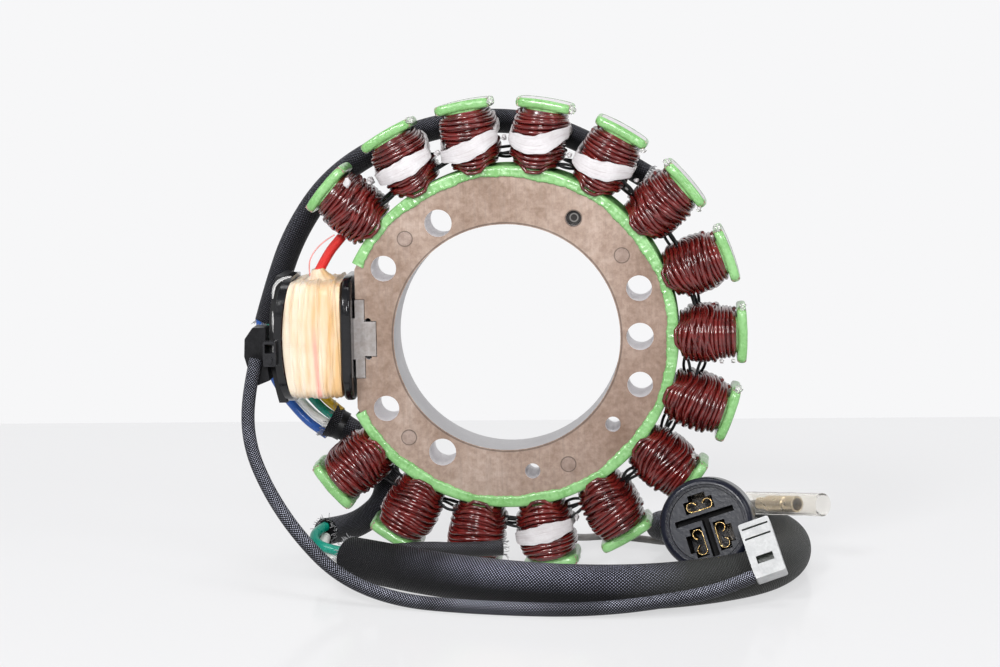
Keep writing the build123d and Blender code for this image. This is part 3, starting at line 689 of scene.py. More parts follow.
# from the lowest left coil anticlockwise, the loose layers on each: turns, middle, spread and slant
looseTurns = [
    ((4, 0.32, 0.20, 1.6), (3, 0.68, 0.16, -1.4)), ((4, 0.45, 0.22, -1.2), (4, 0.72, 0.14, 0.6)),
    ((3, 0.30, 0.14, 0.5), (4, 0.66, 0.18, -1.3)), ((3, 0.25, 0.12, 0.4), (3, 0.78, 0.12, -0.5)),
    ((4, 0.40, 0.22, 1.5), (4, 0.66, 0.16, -1.0)), ((4, 0.36, 0.20, -1.6), (4, 0.64, 0.18, 1.5)),
    ((4, 0.42, 0.26, 1.4), (3, 0.70, 0.16, 0.8)), ((5, 0.36, 0.22, 1.7), (3, 0.44, 0.16, -1.8)),
    ((4, 0.30, 0.16, -1.2), (4, 0.62, 0.22, 1.6)), ((4, 0.34, 0.18, 1.3), (4, 0.60, 0.22, -1.5)),
    ((3, 0.24, 0.12, 0.6), (4, 0.76, 0.14, -0.7)), ((3, 0.26, 0.12, -0.6), (4, 0.72, 0.18, -1.2)),
    ((4, 0.26, 0.12, 0.8), (4, 0.74, 0.18, 0.9)), ((3, 0.24, 0.12, -0.5), (4, 0.74, 0.16, 0.9)),
    ((5, 0.40, 0.26, -2.0), (4, 0.58, 0.22, 1.8)),
]


def eased(draw, turns, size):
    # random values at every quarter turn, joined by cosine curves so that the wire never kinks
    values = draw.normal(0, size, turns * 4 + 1)
    place = np.linspace(0, turns * 4, turns * coil["stations"])
    low = np.minimum(place.astype(int), turns * 4 - 1)
    part = 0.5 - 0.5 * np.cos(np.pi * (place - low))
    return values[low] * (1 - part) + values[low + 1] * part


def windingPath(draw, turns, first, last, grow, wander, lift, slant):
    # a helix on a rounded rectangle: fullest at the middle of the neck, slanting across the front,
    # and sagging over the coat near the root
    turn = np.linspace(0, turns, turns * coil["stations"])
    lowest, highest = coil["inner"] + coil["wire"], coil["outer"] - coil["wire"]
    along = first + (last - first) * turn / turns + eased(draw, turns, wander)
    share = np.clip((along - lowest) / (highest - lowest), 0, 1)
    narrowed = coil["endPinch"] * (2 * share - 1) ** 2 + coil["rootPinch"] * (1 - share) ** 3
    size = grow - narrowed + abs(eased(draw, turns, lift))
    x, y = squareLoop(2 * np.pi * turn, coil["wide"] + size, coil["deep"] + size, coil["power"])
    across = np.clip(x / coil["wide"], -1, 1)
    facing = np.clip(1.6 * y / coil["deep"], -1, 1)
    along = np.clip(along + slant * facing * across, lowest, highest)
    share = (along - lowest) / (highest - lowest)
    endTurn = np.clip((abs(y) - coil["sagFrom"]) / 0.9, 0, 1)
    along = along - coil["sag"] * (1 - share) ** 1.7 * (1 - across ** 2) * endTurn
    return np.stack([x, y, along], axis=-1)


def windingGrid(local):
    # the tube round a winding: its frame comes from the neck's own direction, so it never twists
    tangent = unit(np.gradient(local, axis=0))
    across = unit(np.cross(np.array([0.0, 0.0, 1.0]), tangent))
    return circles(local, coil["wire"], coil["around"], across, np.cross(tangent, across))


def onPole(local, angle):
    # from a pole's own directions to the part's
    outwards, rim, front = poleAxes(angle)
    return axisPoint + local[..., :1] * rim + local[..., 1:2] * front + local[..., 2:] * outwards


def crossovers(draw, angle):
    # from this coil's side to the next one's, each a quadratic curve with its middle pushed aside
    count = crossing["count"]
    side = np.full(count, crossing["side"])
    depth = draw.uniform(*crossing["depth"], count)
    radius = draw.uniform(*crossing["radius"], count)
    start = onPole(np.stack([side, depth, radius], -1), angle)
    depth = depth + draw.normal(0, crossing["depthWander"], count)
    radius = radius + draw.normal(0, crossing["radiusWander"], count)
    end = onPole(np.stack([-side, depth, radius], -1), angle + poles["pitch"])
    middle = (start + end) / 2 + draw.normal(0, crossing["bow"], (count, 3))
    t = np.linspace(0, 1, 9)[None, :, None]
    paths = start[:, None] * (1 - t) ** 2 + middle[:, None] * 2 * t * (1 - t) + end[:, None] * t ** 2
    # near black finish: painted shade in the gaps between coils, and the black over soldered joints
    return manyTubes(paths, crossing["wire"], crossing["around"], finish=1)


def coilPiece(number):
    # the even turns, the loose layers over them, a plain body under them and the wires to the next coil
    angle = poleAngle(number)
    draw = np.random.default_rng(coil["seed"] + number)
    inner, outer, loose = coil["inner"] + coil["wire"], coil["outer"] - coil["wire"], coil["loose"]
    evenSlant = 0.25 * draw.normal()
    paths = [windingPath(draw, coil["turns"], inner, outer, 0.0, coil["wander"], coil["lift"], evenSlant)]
    for turns, middle, spread, slant in looseTurns[number]:
        ends = [inner + (middle + side * spread) * (outer - inner) for side in (-1, 1)]
        paths.append(windingPath(draw, turns, *ends, loose["grow"], loose["wander"], loose["lift"],
                                 loose["slant"] * slant))
    theta = roundAngles(40)
    # radius, and how far the body lies inside the turns
    rows = np.array([(inner - 0.2, 1.1), (inner, 0.75), (48.5, 0.3), (outer, 0.75), (outer + 0.3, 0.9)])
    x, y = squareLoop(theta[None, :], coil["wide"] - rows[:, 1:], coil["deep"] - rows[:, 1:], coil["power"])
    under = np.stack([x, y, np.broadcast_to(rows[:, :1], x.shape)], axis=-1)
    patches = [rod(onPole(grid, angle)) for grid in [windingGrid(path) for path in paths] + [under]]
    if number < poles["count"] - 1:
        patches += crossovers(draw, angle)
    name = f"coil_{number + 1:02d}"
    writePiece("turns_" + name, patches, ("enamel", "boot"), name, 80.0)


for number in range(poles["count"]):
    coilPiece(number)
print("coils wound:", poles["count"])


# Powder coat over the roots and heads
coat = {
    "inner": 38.9,
    "root": 41.0,
    "half": 8.6,
    "skin": 0.6,
    "endAngle": 153.4,
    "seed": 5,
    "scallop": ((9, 23, 47, 95, 170, 260), (0.26, 0.12, 0.07, 0.05, 0.04, 0.03)),
    "bumps": ((31, 67, 140, 230), (0.06, 0.05, 0.05, 0.03)),
    "headWobble": ((2, 3, 5, 9, 14), (0.05, 0.05, 0.05, 0.04, 0.03)),
    "headPower": 8.0,
    "neckPower": 12.0,
    "neckStep": 10,
}


def waves(angle, seed, scales, sizes):
    # several sine waves of set wavelengths with random phases, summed
    draw = np.random.default_rng(seed)
    total = np.zeros_like(angle, dtype=float)
    for scale, size in zip(scales, sizes):
        total = total + size * np.sin(angle * scale + draw.uniform(0, 2 * np.pi))
    return total


def coatRing():
    # a profile over the ring's rim, from the front bead over the root to the back bead, carried round
    # the axis
    theta = np.linspace(-coat["endAngle"], coat["endAngle"], 1100) * np.pi / 180
    scallop = waves(theta, coat["seed"], *coat["scallop"])
    bumps = waves(theta, coat["seed"] + 1, *coat["bumps"])
    inner = coat["inner"] + scallop
    # share of the way from the bead to the root, radius past it, and height above the sheet
    front = [(0.00, 0.00, 0.02), (0.02, 0.0, 0.30), (0.08, 0.0, 0.52), (0.18, 0.0, 0.66), (0.35, 0.0, 0.62),
             (0.55, 0.0, 0.58), (0.75, 0.0, 0.60), (0.90, 0.0, 0.60), (1.0, 0.0, 0.56), (1.0, 0.35, 0.46),
             (1.0, 0.58, 0.24), (1.0, 0.62, 0.0)]
    rows = []
    for side in (-1.0, 1.0):
        for share, past, up in (front if side < 0 else front[::-1]):
            radius = inner + (coat["root"] - inner) * share + past
            lift = up * (1 + bumps * (1.2 if share < 0.6 else 0.4))
            depth = side * (coat["half"] - coat["skin"] + lift)
            rows.append(np.stack([radius * np.cos(theta), depth, radius * np.sin(theta)], axis=-1))
    return axisPoint + np.array(rows)


def headGrid(angle, seed):
    # rounded rectangles on the rim's cylinder: over the edge of the ground face, down the side and under
    # the head, each with half its width, half its depth and its radius
    theta = roundAngles(84)
    rings = [(6.02, 7.72, 57.93), (6.10, 7.80, 58.03), (6.26, 7.92, 58.08), (6.62, 8.26, 58.06),
             (6.92, 8.54, 57.80), (7.06, 8.68, 57.36), (7.10, 8.72, 56.84), (7.04, 8.66, 56.34),
             (6.84, 8.50, 55.98), (6.45, 8.24, 55.80), (4.60, 8.10, 55.74), (3.9, 8.05, 54.9),
             (3.8, 8.0, 50.0), (3.8, 8.0, 41.5)]
    wobble = waves(theta, seed, *coat["headWobble"])
    rows = []
    for step, (wide, deep, radius) in enumerate(rings):
        power = coat["headPower"] if step < coat["neckStep"] else coat["neckPower"]
        along, depth = squareLoop(theta, wide + 0.8 * wobble, deep + 0.5 * wobble, power)
        turned = math.radians(angle) + along / poles["headRadius"]
        rise = radius + (0.4 * wobble if 2 < step < 9 else 0.0)
        rows.append(np.stack([rise * np.cos(turned), -depth, rise * np.sin(turned)], axis=-1))
    head = axisPoint + np.array(rows)
    # no lower than the table
    head[..., 2] = np.maximum(head[..., 2], 0.0)
    return head


def lump(middle, sizes, seed):
    # a ball stretched to three half sizes and dented by a few waves
    up = np.linspace(-np.pi / 2, np.pi / 2, 14)[1:-1, None]
    theta = roundAngles(24)[None, :]
    size = 1 + waves(theta + 2 * up, seed, (2, 3, 5), (0.20, 0.14, 0.10)) * np.cos(up)
    ball = np.stack([np.cos(up) * np.cos(theta) * sizes[0], np.cos(up) * np.sin(theta) * sizes[1],
                     np.sin(up) * sizes[2] + 0 * theta], axis=-1)
    return middle + ball * size[..., None]


# clear varnish that has run to the ends of some heads: angle, then place along the rim, depth, radius and
# half sizes
drips = (
    (120, -7.0, 8.0, 57.0, (1.1, 0.9, 0.8)), (100, -7.0, 8.0, 57.0, (0.9, 0.9, 1.0)),
    (80, -6.9, 8.0, 56.8, (0.8, 0.8, 1.1)), (40, 6.9, 8.0, 56.9, (0.9, 0.9, 0.9)),
    (20, 6.9, 8.1, 56.9, (0.8, 0.9, 1.0)), (0, 6.9, 8.1, 56.9, (0.8, 0.9, 1.0)),
    (-20, 6.9, 8.1, 56.9, (0.9, 0.9, 1.0)), (40, -6.6, 8.4, 55.4, (0.6, 0.5, 0.6)),
    (60, -6.7, 8.3, 55.5, (0.7, 0.5, 0.5)), (0, -6.2, 7.6, 54.6, (0.5, 0.5, 0.5)),
    (0, -6.3, 7.4, 51.8, (0.5, 0.5, 0.5)), (-40, 6.3, 7.0, 53.2, (0.7, 0.6, 0.6)),
)

ring = coatRing()
# the wall between the front and back halves has no gloss, so that it never mirrors the pale surroundings
half = len(ring) // 2
coatPatches = [patch(ring[:half], closeCols=False),
               patch(ring[half - 1:half + 1], closeCols=False, finish=3),
               patch(ring[half:], closeCols=False)]
for number in range(poles["count"]):
    head = headGrid(poleAngle(number), 40 + number)
    coatPatches += [patch(head[:2], finish=1), patch(head[1:])]
for seed, (angle, along, depth, radius, sizes) in enumerate(drips):
    spot = onPole(np.array([along, depth, radius]), angle)
    coatPatches.append(rod(lump(spot, sizes, seed), finish=2))
writePiece("powder_coat", coatPatches, ("coat", "boot", "varnish", "coatWall"),
           "insulation_coat")
print("powder coat laid")


# Source coil: tape over the winding. A fold has its radius, slant, height and width; a lap has no width.
tape = {
    "near": 39.95,
    "far": 54.0,
    "high": 14.1,
    "deep": 12.9,
    "ends": 0.10,
    "power": 8.0,
    "around": 300,
    "rows": 90,
    "lapLong": 1.3,
    "ripples": ((7, 3, 0.06), (15, -5, 0.05)),
    "runSize": (0.12, 0.26),
    "threadSize": 0.16,
    "folds": ((41.3, 0.7, 0.30, 0.30), (43.2, -1.3, 0.26, 0.34), (45.2, 0.5, 0.16, 0.45),
              (47.2, 0.4, 0.20, 0.35), (49.4, -0.3, 0.14, 0.50), (51.6, 0.2, 0.20, 0.40)),
    "laps": ((40.9, 0.5, 0.30), (42.4, -1.2, 0.34), (44.3, 0.9, 0.28), (46.0, -0.7, 0.36),
             (48.2, 1.0, 0.26), (50.3, -0.5, 0.30), (52.3, 0.4, 0.24)),
    "neck": ((-45.2, -3.2, 11.2), (-45.6, -3.6, 13.4), (-46.2, -4.0, 16.9)),
    "varnish": (((-56.1, -13.3, 5.0), (0.22, 0.25, 2.6)), ((-56.2, -13.3, -2.2), (0.25, 0.3, 1.4))),
    "run": ((-56.0, -13.2, 10.6), (-55.9, -13.2, 12.9), (-54.9, -13.1, 14.6), (-53.2, -12.9, 15.6),
            (-51.4, -12.7, 15.9)),
    "thread": ((-47.9, -4.6, 14.2), (-48.4, -4.8, 17.6), (-47.4, -4.4, 20.6), (-44.6, -3.6, 23.6),
               (-42.0, -2.8, 25.0)),
}


def tapeGrid():
    # rounded rectangles along the neck, raised along slanting folds, fuller at the middle
    theta = roundAngles(tape["around"])[None, :]
    along = np.linspace(tape["near"], tape["far"], tape["rows"])[:, None]
    share = (along - tape["near"]) / (tape["far"] - tape["near"])
    swell = np.zeros_like(theta) - tape["ends"] * (2 * share - 1) ** 4
    for place, slant, size, wide in tape["folds"]:
        line = place + slant * np.sin(theta) + 0.25 * np.sin(3 * theta + place)
        swell = swell + size * np.exp(-((along - line) / wide) ** 2)
    for place, slant, size in tape["laps"]:
        past = along - (place + slant * np.sin(theta + 0.4 * place) + 0.2 * np.sin(2 * theta + place))
        step = np.clip(past / 0.2 + 0.5, 0, 1)
        swell = swell + size * np.exp(-np.maximum(past, 0.0) / tape["lapLong"]) * step
    for times, drift, size in tape["ripples"]:
        swell = swell + size * np.sin(times * theta + drift * share)
    x, y = squareLoop(theta, tape["high"] + swell, tape["deep"] + swell, tape["power"])
    rim = np.sqrt(np.maximum(tape["far"] ** 2 - x ** 2, 0.0))
    blend = np.clip((share - 0.2) / 0.8, 0, 1)
    radial = (1 - blend) * along + blend * (tape["near"] + (rim - tape["near"]) * share)
    return np.stack([x, y, radial], axis=-1)


def tapeNeck():
    # the tape's end gathered round the red sleeve: creased ovals that shrink along a short path
    path = evenly(smoothRoute(held(tape["neck"])), 0.2)
    share = np.linspace(0, 1, len(path))
    around, sleeveSize, spread = 48, 1.5, 6.0
    grid = tubeGrid(path, spread * (1 - share) ** 1.4 + sleeveSize, around)
    angle = roundAngles(around)
    deep = 0.09 * np.sin(5 * angle)[None, :] * (1 - share)[:, None]
    crease = 1 + deep + 0.04 * np.sin(11 * angle + 4)[None, :]
    return path[:, None, :] + (grid - path[:, None, :]) * crease[..., None]


# whitish varnish along the top of the bobbin's flange: partly real varnish, partly painted highlight
varnishGlintRun = evenly(smoothRoute(held(tape["run"])), 0.3)
least, fuller = tape["runSize"]
runSize = least + fuller * np.sin(np.linspace(0, np.pi, len(varnishGlintRun))) ** 0.7
tapeThread = evenly(smoothRoute(held(tape["thread"])), 0.4)
tapePatches = [rod(onPole(tapeGrid(), 180.0)), rod(tapeNeck()),
               rod(tubeGrid(tapeThread, tape["threadSize"], 8), finish=1),
               rod(tubeGrid(varnishGlintRun, runSize, 12), finish=2)]
# whitish varnish lumps down the flange's side: partly real varnish, partly painted highlight
for number, (spot, sizes) in enumerate(tape["varnish"]):
    tapePatches.append(rod(lump(np.array(held([spot])[0]), sizes, 30 + number), finish=2))
writePiece("source_wrap", tapePatches, ("tape", "thread", "varnish"), "source_tape")
print("source coil taped")


# Leads and sleeves that the core carries
heldRoutes = {
    "upper_sleeve": ((-62.2, 1.7), (-59.6, 10.5), (-54.6, 24), (-45.4, 37.2), (-31.2, 46.2),
                     (-14.5, 51.2), (2.5, 51.6), (18.5, 46.6), (33.4, 37.2)),
    "joint_sleeve": ((-1.4, -50.6), (-11, -51.2), (-21, -50.6), (-29.5, -51.4)),
    "lower_sleeve": ((-46.6, 0, -23.2), (-39.6, 0.2, -27), (-32.4, 0.6, -34.6), (-32.6, -0.2, -43.8),
                     (-38.2, -3.8, -48.6), (-43, -10.4, -49.3), (-46, -18, -48.4)),
    "red_sleeve": ((-41.2, 0, 23.6), (-44, -2, 20.2), (-46.3, -4, 15.4)),
    "lead_to_boot": ((-62.4, 12.4, -2.4), (-61.3, 4, -2.8), (-61.6, -6.2, -3.6)),
    "bundle": ((-62.6, 17.2, -4.2, 0), (-57.5, 17.2, -12.6, 0.5), (-50.6, 16.2, -20.6, 0.9)),
}
depths = {"upper": 15.65, "lower": 15.0, "joint": 13.5}
# fray is a number of fibres, and flare widens a sleeve's first end, where the leads come out
sleeves = {
    "upper_sleeve": {"points": held([(x, depths["upper"], z) for x, z in heldRoutes["upper_sleeve"]]),
                     "wide": 6.0, "fray": 70, "finish": "sleeve"},
    "joint_sleeve": {"points": held([(x, -depths["joint"], z) for x, z in heldRoutes["joint_sleeve"]]),
                     "wide": 3.6, "fray": 16, "finish": "joint"},
    "lower_sleeve": {"points": held([(x, depths["lower"] + y, z) for x, y, z in heldRoutes["lower_sleeve"]]),
                     "wide": 6.6, "flare": 1.3, "flareLong": 4.4, "fray": 70, "finish": "sleeve"},
}


def fringe(path, radius, atStart, count, long, seed, thick=0.07):
    # cut fibres round a sleeve's end: short bent strands that lean outwards by uneven angles
    draw = np.random.default_rng(seed)
    tangent, across, other = carriedFrame(path)
    at = 0 if atStart else -1
    forward = -tangent[at] if atStart else tangent[at]
    angle = draw.uniform(0, 2 * np.pi, count)
    size = radius * draw.uniform(0.82, 1.0, count)
    outward = np.cos(angle)[:, None] * across[at] + np.sin(angle)[:, None] * other[at]
    reach = long * draw.uniform(0.4, 1.0, count)
    lean = draw.normal(0.25, 0.35, count)[:, None]
    sway = draw.normal(0, 0.3, count)[:, None]
    side = np.cross(outward, forward)
    steps = np.linspace(-0.35, 1.0, 5)
    bends = [forward * s + outward * (lean * s * abs(s)) + side * (sway * s * s) for s in steps]
    paths = np.stack([path[at] + outward * size[:, None] + bend * reach[:, None] for bend in bends], axis=1)
    paths[..., 2] = np.maximum(paths[..., 2], 2 * thick)
    return manyTubes(paths, thick, 4, finish=2)


def mouths(path, body, sizes, made):
    # both ends of a sleeve: each mouth is carried back inside, so that its cut shows a wall and a dark
    # hollow, and has cut fibres round it
    patches = []
    for atStart in (True, False):
        at, beside = (0, 1) if atStart else (-1, -2)
        radius, inward = sizes[at], unit(path[beside] - path[at])
        thick = min(made["wall"], radius * 0.3)
        rows = [body[at]]
        for away, size in ((0.0, radius - thick * 0.45), (0.2, radius - thick), (4.0, radius - thick)):
            rows.append(path[at] + inward * away + (body[at] - path[at]) * (size / radius))
        rows = np.array(rows[::-1] if atStart else rows)
        patches.append(patch(rows, capStart=atStart, capEnd=not atStart, finish=1))
        patches += fringe(path, radius, atStart, made["fray"], made["fibreLong"], made["seed"] + atStart)
    return patches


def softPiece(kind, nodeName, made):
    # a lead or sleeve along its route: closed at both ends, or open and frayed where it counts fibres
    route = smoothRoute(made["points"])
    path = evenly(route, made["step"])
    size = np.full(len(path), made["wide"] / 2)
    if "flare" in made:
        size = size + made["flare"] * np.clip(1 - lengthAlong(path) / made["flareLong"], 0, 1) ** 1.2
    body = tubeGrid(path, size, made["around"], made.get("relief"))
    uvScale = (1.0 / made["around"], made.get("uvStep", made["step"]))
    used, patches = (made["finish"],), [rod(body, uvScale=uvScale)]
    if "fray" in made:
        used += ("boot", "fibre")
        patches = [patch(body, uvScale=uvScale)] + mouths(path, body, size, made)
    piece = writePiece(kind + nodeName, patches, used, nodeName)
    return piece, route


for sleeveName, made in sleeves.items():
    made.update(around=48, step=0.6, wall=0.8, fibreLong=1.5, seed=61 + len(sleeveName))
    softPiece("braid_", sleeveName, made)
print("held sleeves braided")


def plaited(along, angle):
    # raised diamonds where two families of strands cross
    return 0.07 * np.sin(6 * angle + 4.5 * along) * np.sin(6 * angle - 4.5 * along)


# Small leads: smooth insulated wires, and the red sleeve, which starts behind the coil
leads = {
    "red_sleeve": {"wide": 2.4, "finish": "redBraid", "slot": "red_plastic", "relief": plaited,
                   "points": held(((-39.6, 2.0, 25.6),) + heldRoutes["red_sleeve"])},
    "lead_to_boot": {"wide": 2.0, "finish": "yellow", "slot": "lead_yellow",
                     "points": held(heldRoutes["lead_to_boot"])},
}
bundle = {
    "wide": 2.2,
    "pitch": 2.4,
    "endGap": 0.7,
    "intoLower": 2.2,
    "names": ("lead_blue", "lead_white", "lead_teal", "lead_yellow"),
    "finishes": ("blue", "white", "teal", "yellow"),
}


def bundlePoints():
    # middles of the bundle with how far it has opened, then each lead beside them: a square that turns
    # into a row
    upper, lower = sleeves["upper_sleeve"]["points"], sleeves["lower_sleeve"]["points"]
    upperEnd, upperNext = np.array(upper[0]), np.array(upper[1])
    lowerEnd, lowerNext = np.array(lower[0]), np.array(lower[1])
    middles = [upperEnd - unit(upperNext - upperEnd) * bundle["endGap"]]
    middles += [np.array(held([p[:3]])[0]) for p in heldRoutes["bundle"]]
    middles += [lowerEnd - unit(lowerNext - lowerEnd) * bundle["endGap"]]
    middles = np.array(middles)
    opened = np.array([0.0] + [p[3] for p in heldRoutes["bundle"]] + [1.0])
    padded = np.vstack([middles[:1], middles, middles[-1:]])
    side = unit(np.cross(padded[2:] - padded[:-2], np.array([0.0, 1.0, 0.0])))
    apart = np.hypot(1 - opened, opened)[:, None]
    routes = []
    for number in range(4):
        square = side * (number // 2 - 0.5) + np.array([0.0, number % 2 - 0.5, 0.0])
        row = side * (number - 1.5)
        line = middles + (square * (1 - opened)[:, None] + row * opened[:, None]) / apart * bundle["pitch"]
        start = line[0] + (line[0] - line[1]) * 0.25
        finish = line[-1] + unit(line[-1] - line[-2]) * bundle["intoLower"]
        routes.append(np.vstack([start[None], line, finish[None]]))
    return routes


for leadName, finishName, route in zip(bundle["names"], bundle["finishes"], bundlePoints()):
    leads[leadName] = {"wide": bundle["wide"], "finish": finishName, "slot": leadName, "points": route}
for leadName, made in leads.items():
    made.update(around=28, step=0.4, uvStep=1.0)
    softPiece("wire_", leadName, made)
print("small leads drawn:", len(leads))


# Cords that lie free
cords = {
    "harness_sleeve": {
        "points": lying(((-38, -15.8, 5.3), (-31.5, -20.8, 5.3), (-19.5, -32, 5.3), (-4, -42.2, 5.3),
                         (13.5, -49.4, 5.3), (31, -50.6, 5.3), (46.5, -44.8, 5.3), (60, -33.8, 5.3),
                         (66.9, -18.5, 5.3), (68.4, 0, 5.3), (65.6, 15.5, 5.3), (58.4, 26.2, 5.3),
                         (50, 30, 5.3))),
        "wide": 10.5, "around": 72, "step": 0.7, "finish": "harness", "fray": 130, "wall": 0.7,
        "fibreLong": 1.6, "seed": 90,
    },
    "plug_lead": {
        "points": lying(((49.7, 30.14, 5.3), (44.6, 32.2, 5.2), (39.2, 29, 5.4), (35.9, 22.6, 6),
                         (36.1, 14.6, 7), (39.2, 8.4, 8.2), (46.2, 1.2, 10.3), (49.52, -4.5, 12.02))),
        "wide": 7.0, "around": 56, "step": 0.6, "finish": "plugLead",
    },
    "thin_lead": {
        "points": lying(((-60.2, -14.8, 54.167), (-62.4, -16.2, 44.967), (-61.8, -19.5, 33.967),
                         (-56.6, -25.5, 24), (-48.5, -33, 14.4), (-38, -40.8, 6), (-24, -47.2, 1.75),
                         (-6, -54, 1.65), (14, -57.4, 1.65), (27, -57.8, 2.3), (38.5, -55.9, 3.4),
                         (48, -52.3, 4.4), (54.2, -48, 5.6), (58.1, -45.7, 6.7))),
        "wide": 3.2, "around": 32, "step": 0.45, "finish": "thinLead",
    },
    "bullet_lead": {
        "points": lying(((10, 13.6, 10), (11, 20.5, 4.4), (14.5, 29, 1.3), (22, 34, 0.95),
                         (30.5, 30.4, 0.95), (38.5, 24.4, 0.95), (45, 19.2, 2.6), (51.6, 16.8, 7.6),
                         (58, 15.5, 12.8))),
        "wide": 1.8, "around": 20, "step": 0.5, "finish": "greyLead", "slot": "lead_grey",
    },
    "tail_wire_teal": {
        "points": lying(((-46.1, -3.4, 10.77), (-47.9, -8, 10.4), (-47.6, -12.5, 8.9), (-44.4, -15.2, 7.6),
                         (-39.2, -15.1, 6.6))),
        "wide": 2.4, "around": 28, "step": 0.4, "finish": "teal", "slot": "lead_teal",
    },
    "tail_wire_white": {
        "points": lying(((-45.9, -3.8, 8.17), (-46, -8.5, 7.6), (-44.6, -12.4, 6.2), (-42.2, -14, 4.8),
                         (-39.1, -15, 4))),
        "wide": 2.4, "around": 28, "step": 0.4, "finish": "white", "slot": "lead_white",
    },
}
bullet = {"aim": (0.664, -0.738, 0.114), "long": 27.0, "wide": 5.6, "wall": 0.5, "from": 4.6,
          "ripple": 0.03, "lip": 0.05}
cords["plug_lead"]["points"].append(tuple(plugFront + plugAim * (plug["long"] + plug["leadGap"])))
bulletAim = unit(np.array(bullet["aim"]))
clearStart = np.array(cords["bullet_lead"]["points"][-1])
cords["bullet_lead"]["points"].append(tuple(clearStart + bulletAim * (bullet["from"] - plug["leadGap"])))

cordPieces = {}
cordPaths = {}
for cordName, made in cords.items():
    cordPieces[cordName], cordPaths[cordName] = softPiece("cord_", cordName, made)


# Clear sleeve over the bullet terminal: a thin wall, open in front, with a rolled lip
def clearSleeve():
    share = np.linspace(0, 1, 60)
    path = clearStart + share[:, None] * bulletAim * bullet["long"]
    outer = (bullet["wide"] / 2 + bullet["ripple"] * np.sin(23 * share)
             + bullet["lip"] * np.exp(-((share - 1) / 0.02) ** 2))
    outside = tubeGrid(path, outer, 56)
    inside = tubeGrid(path, outer - bullet["wall"], 56)
    return np.vstack([outside, inside[::-1]])


sleevePiece = writePiece("clear_sleeve", [patch(clearSleeve(), closeRows=True)], ("clear",),
                         "bullet_sleeve")

# Plug's terminals: thin springs with both edges rolled inwards, each at a place on the face and a turn
springs = {
    "cavities": ((-0.4, 3.35, 0), (-1.5, -3.6, 90), (1.35, -3.5, -90)),
    "wide": 6.3, "curl": 1.25, "sheet": 0.20, "long": 8.0, "recess": 1.0, "gap": 0.1, "open": 105.0,
}


def springGrid(x, y, turn):
    # a flat base with an arc at each end, seen along the plug; each point carries a thin bevelled section
    # that runs into the plug
    s = springs
    bend = s["curl"] - s["sheet"] / 2
    middle = s["wide"] / 2 - s["curl"]
    arc = np.radians(np.linspace(-90, 270 - s["open"], 26))
    right = np.stack([middle + bend * np.cos(arc), s["gap"] + s["curl"] + bend * np.sin(arc)], -1)
    left = right[::-1] * np.array([-1.0, 1.0])
    line = np.vstack([left, right])
    tangent = unit(np.gradient(line, axis=0))
    normal = np.stack([-tangent[:, 1], tangent[:, 0]], -1)
    half, bevel = s["sheet"] / 2, s["sheet"] * 0.3
    section = np.array([(-half, bevel), (-half + bevel, 0), (half - bevel, 0), (half, bevel),
                        (half, s["long"]), (-half, s["long"])])
    flat = line[:, None, :] + normal[:, None, :] * section[None, :, :1]
    a, r = math.radians(turn), math.radians(plug["roll"])
    px = x + flat[..., 0] * math.cos(a) - flat[..., 1] * math.sin(a)
    py = y + flat[..., 0] * math.sin(a) + flat[..., 1] * math.cos(a)
    acrossPlug = unit(np.array([plugAim[1], -plugAim[0], 0.0]))
    upPlug = np.cross(-plugAim, acrossPlug)
    u, v = px * math.cos(r) - py * math.sin(r), px * math.sin(r) + py * math.cos(r)
    deep = plug["recess"] + s["recess"] + section[None, :, 1]
    return plugFront + u[..., None] * acrossPlug + v[..., None] * upPlug + deep[..., None] * plugAim


springPiece = writePiece("terminal_springs", [rod(springGrid(*place)) for place in springs["cavities"]],
                         ("brass",), "connector_terminals", 40.0)

print("free cords laid:", len(cordPieces))


# Lacing: flat white tape round each laced coil, and round the sleeve behind it
lacing = {
    "out": 12.0,
    "side": 6.95,
    "wide": 4.5,
    "thick": 0.40,
    "power": 3.0,
    "gap": 0.14,
    "gapAt": 8.8,
    "gather": 0.62,
    "loop": {"radius": 3.45, "slant": 0.7, "wide": 3.0, "thick": 0.6},
}
# angle of the coil, its node, radius in front at the left, the middle and the right, radius behind, and
# whether the band also holds the sleeve
bands = (
    (120, "lacing_1", 48.7, 47.7, 48.1, 53.3, True),
    (100, "lacing_2", 45.9, 46.3, 49.2, 52.0, True),
    (80, "lacing_3", 48.5, 47.4, 52.6, 50.6, True),
    (60, "lacing_4", 46.3, 46.6, 50.4, 50.2, True),
    (-80, "lacing_5", 47.6, 48.3, 48.7, 48.2, False),
)
# lumps where the tape is knotted or stuck: angle, radius, depth from the middle plane, and half sizes
knots = {
    "lacing_1": ((130.4, 50.2, 5.5, (0.9, 1.5, 1.0)), (134.6, 53.6, 10.4, (0.8, 0.6, 1.2))),
    "lacing_2": ((109.6, 47.6, 7.4, (0.7, 1.4, 0.7)),),
    "lacing_3": ((89.8, 48.4, 7.0, (0.6, 1.4, 0.7)), (70.2, 46.6, 6.4, (0.6, 1.0, 0.6))),
    "lacing_4": ((49.8, 49.2, 6.0, (0.6, 1.2, 0.5)), (50.4, 46.4, 5.0, (0.5, 1.0, 0.6))),
    "lacing_5": ((-69.9, 47.4, 6.0, (0.5, 1.2, 0.8)),),
}


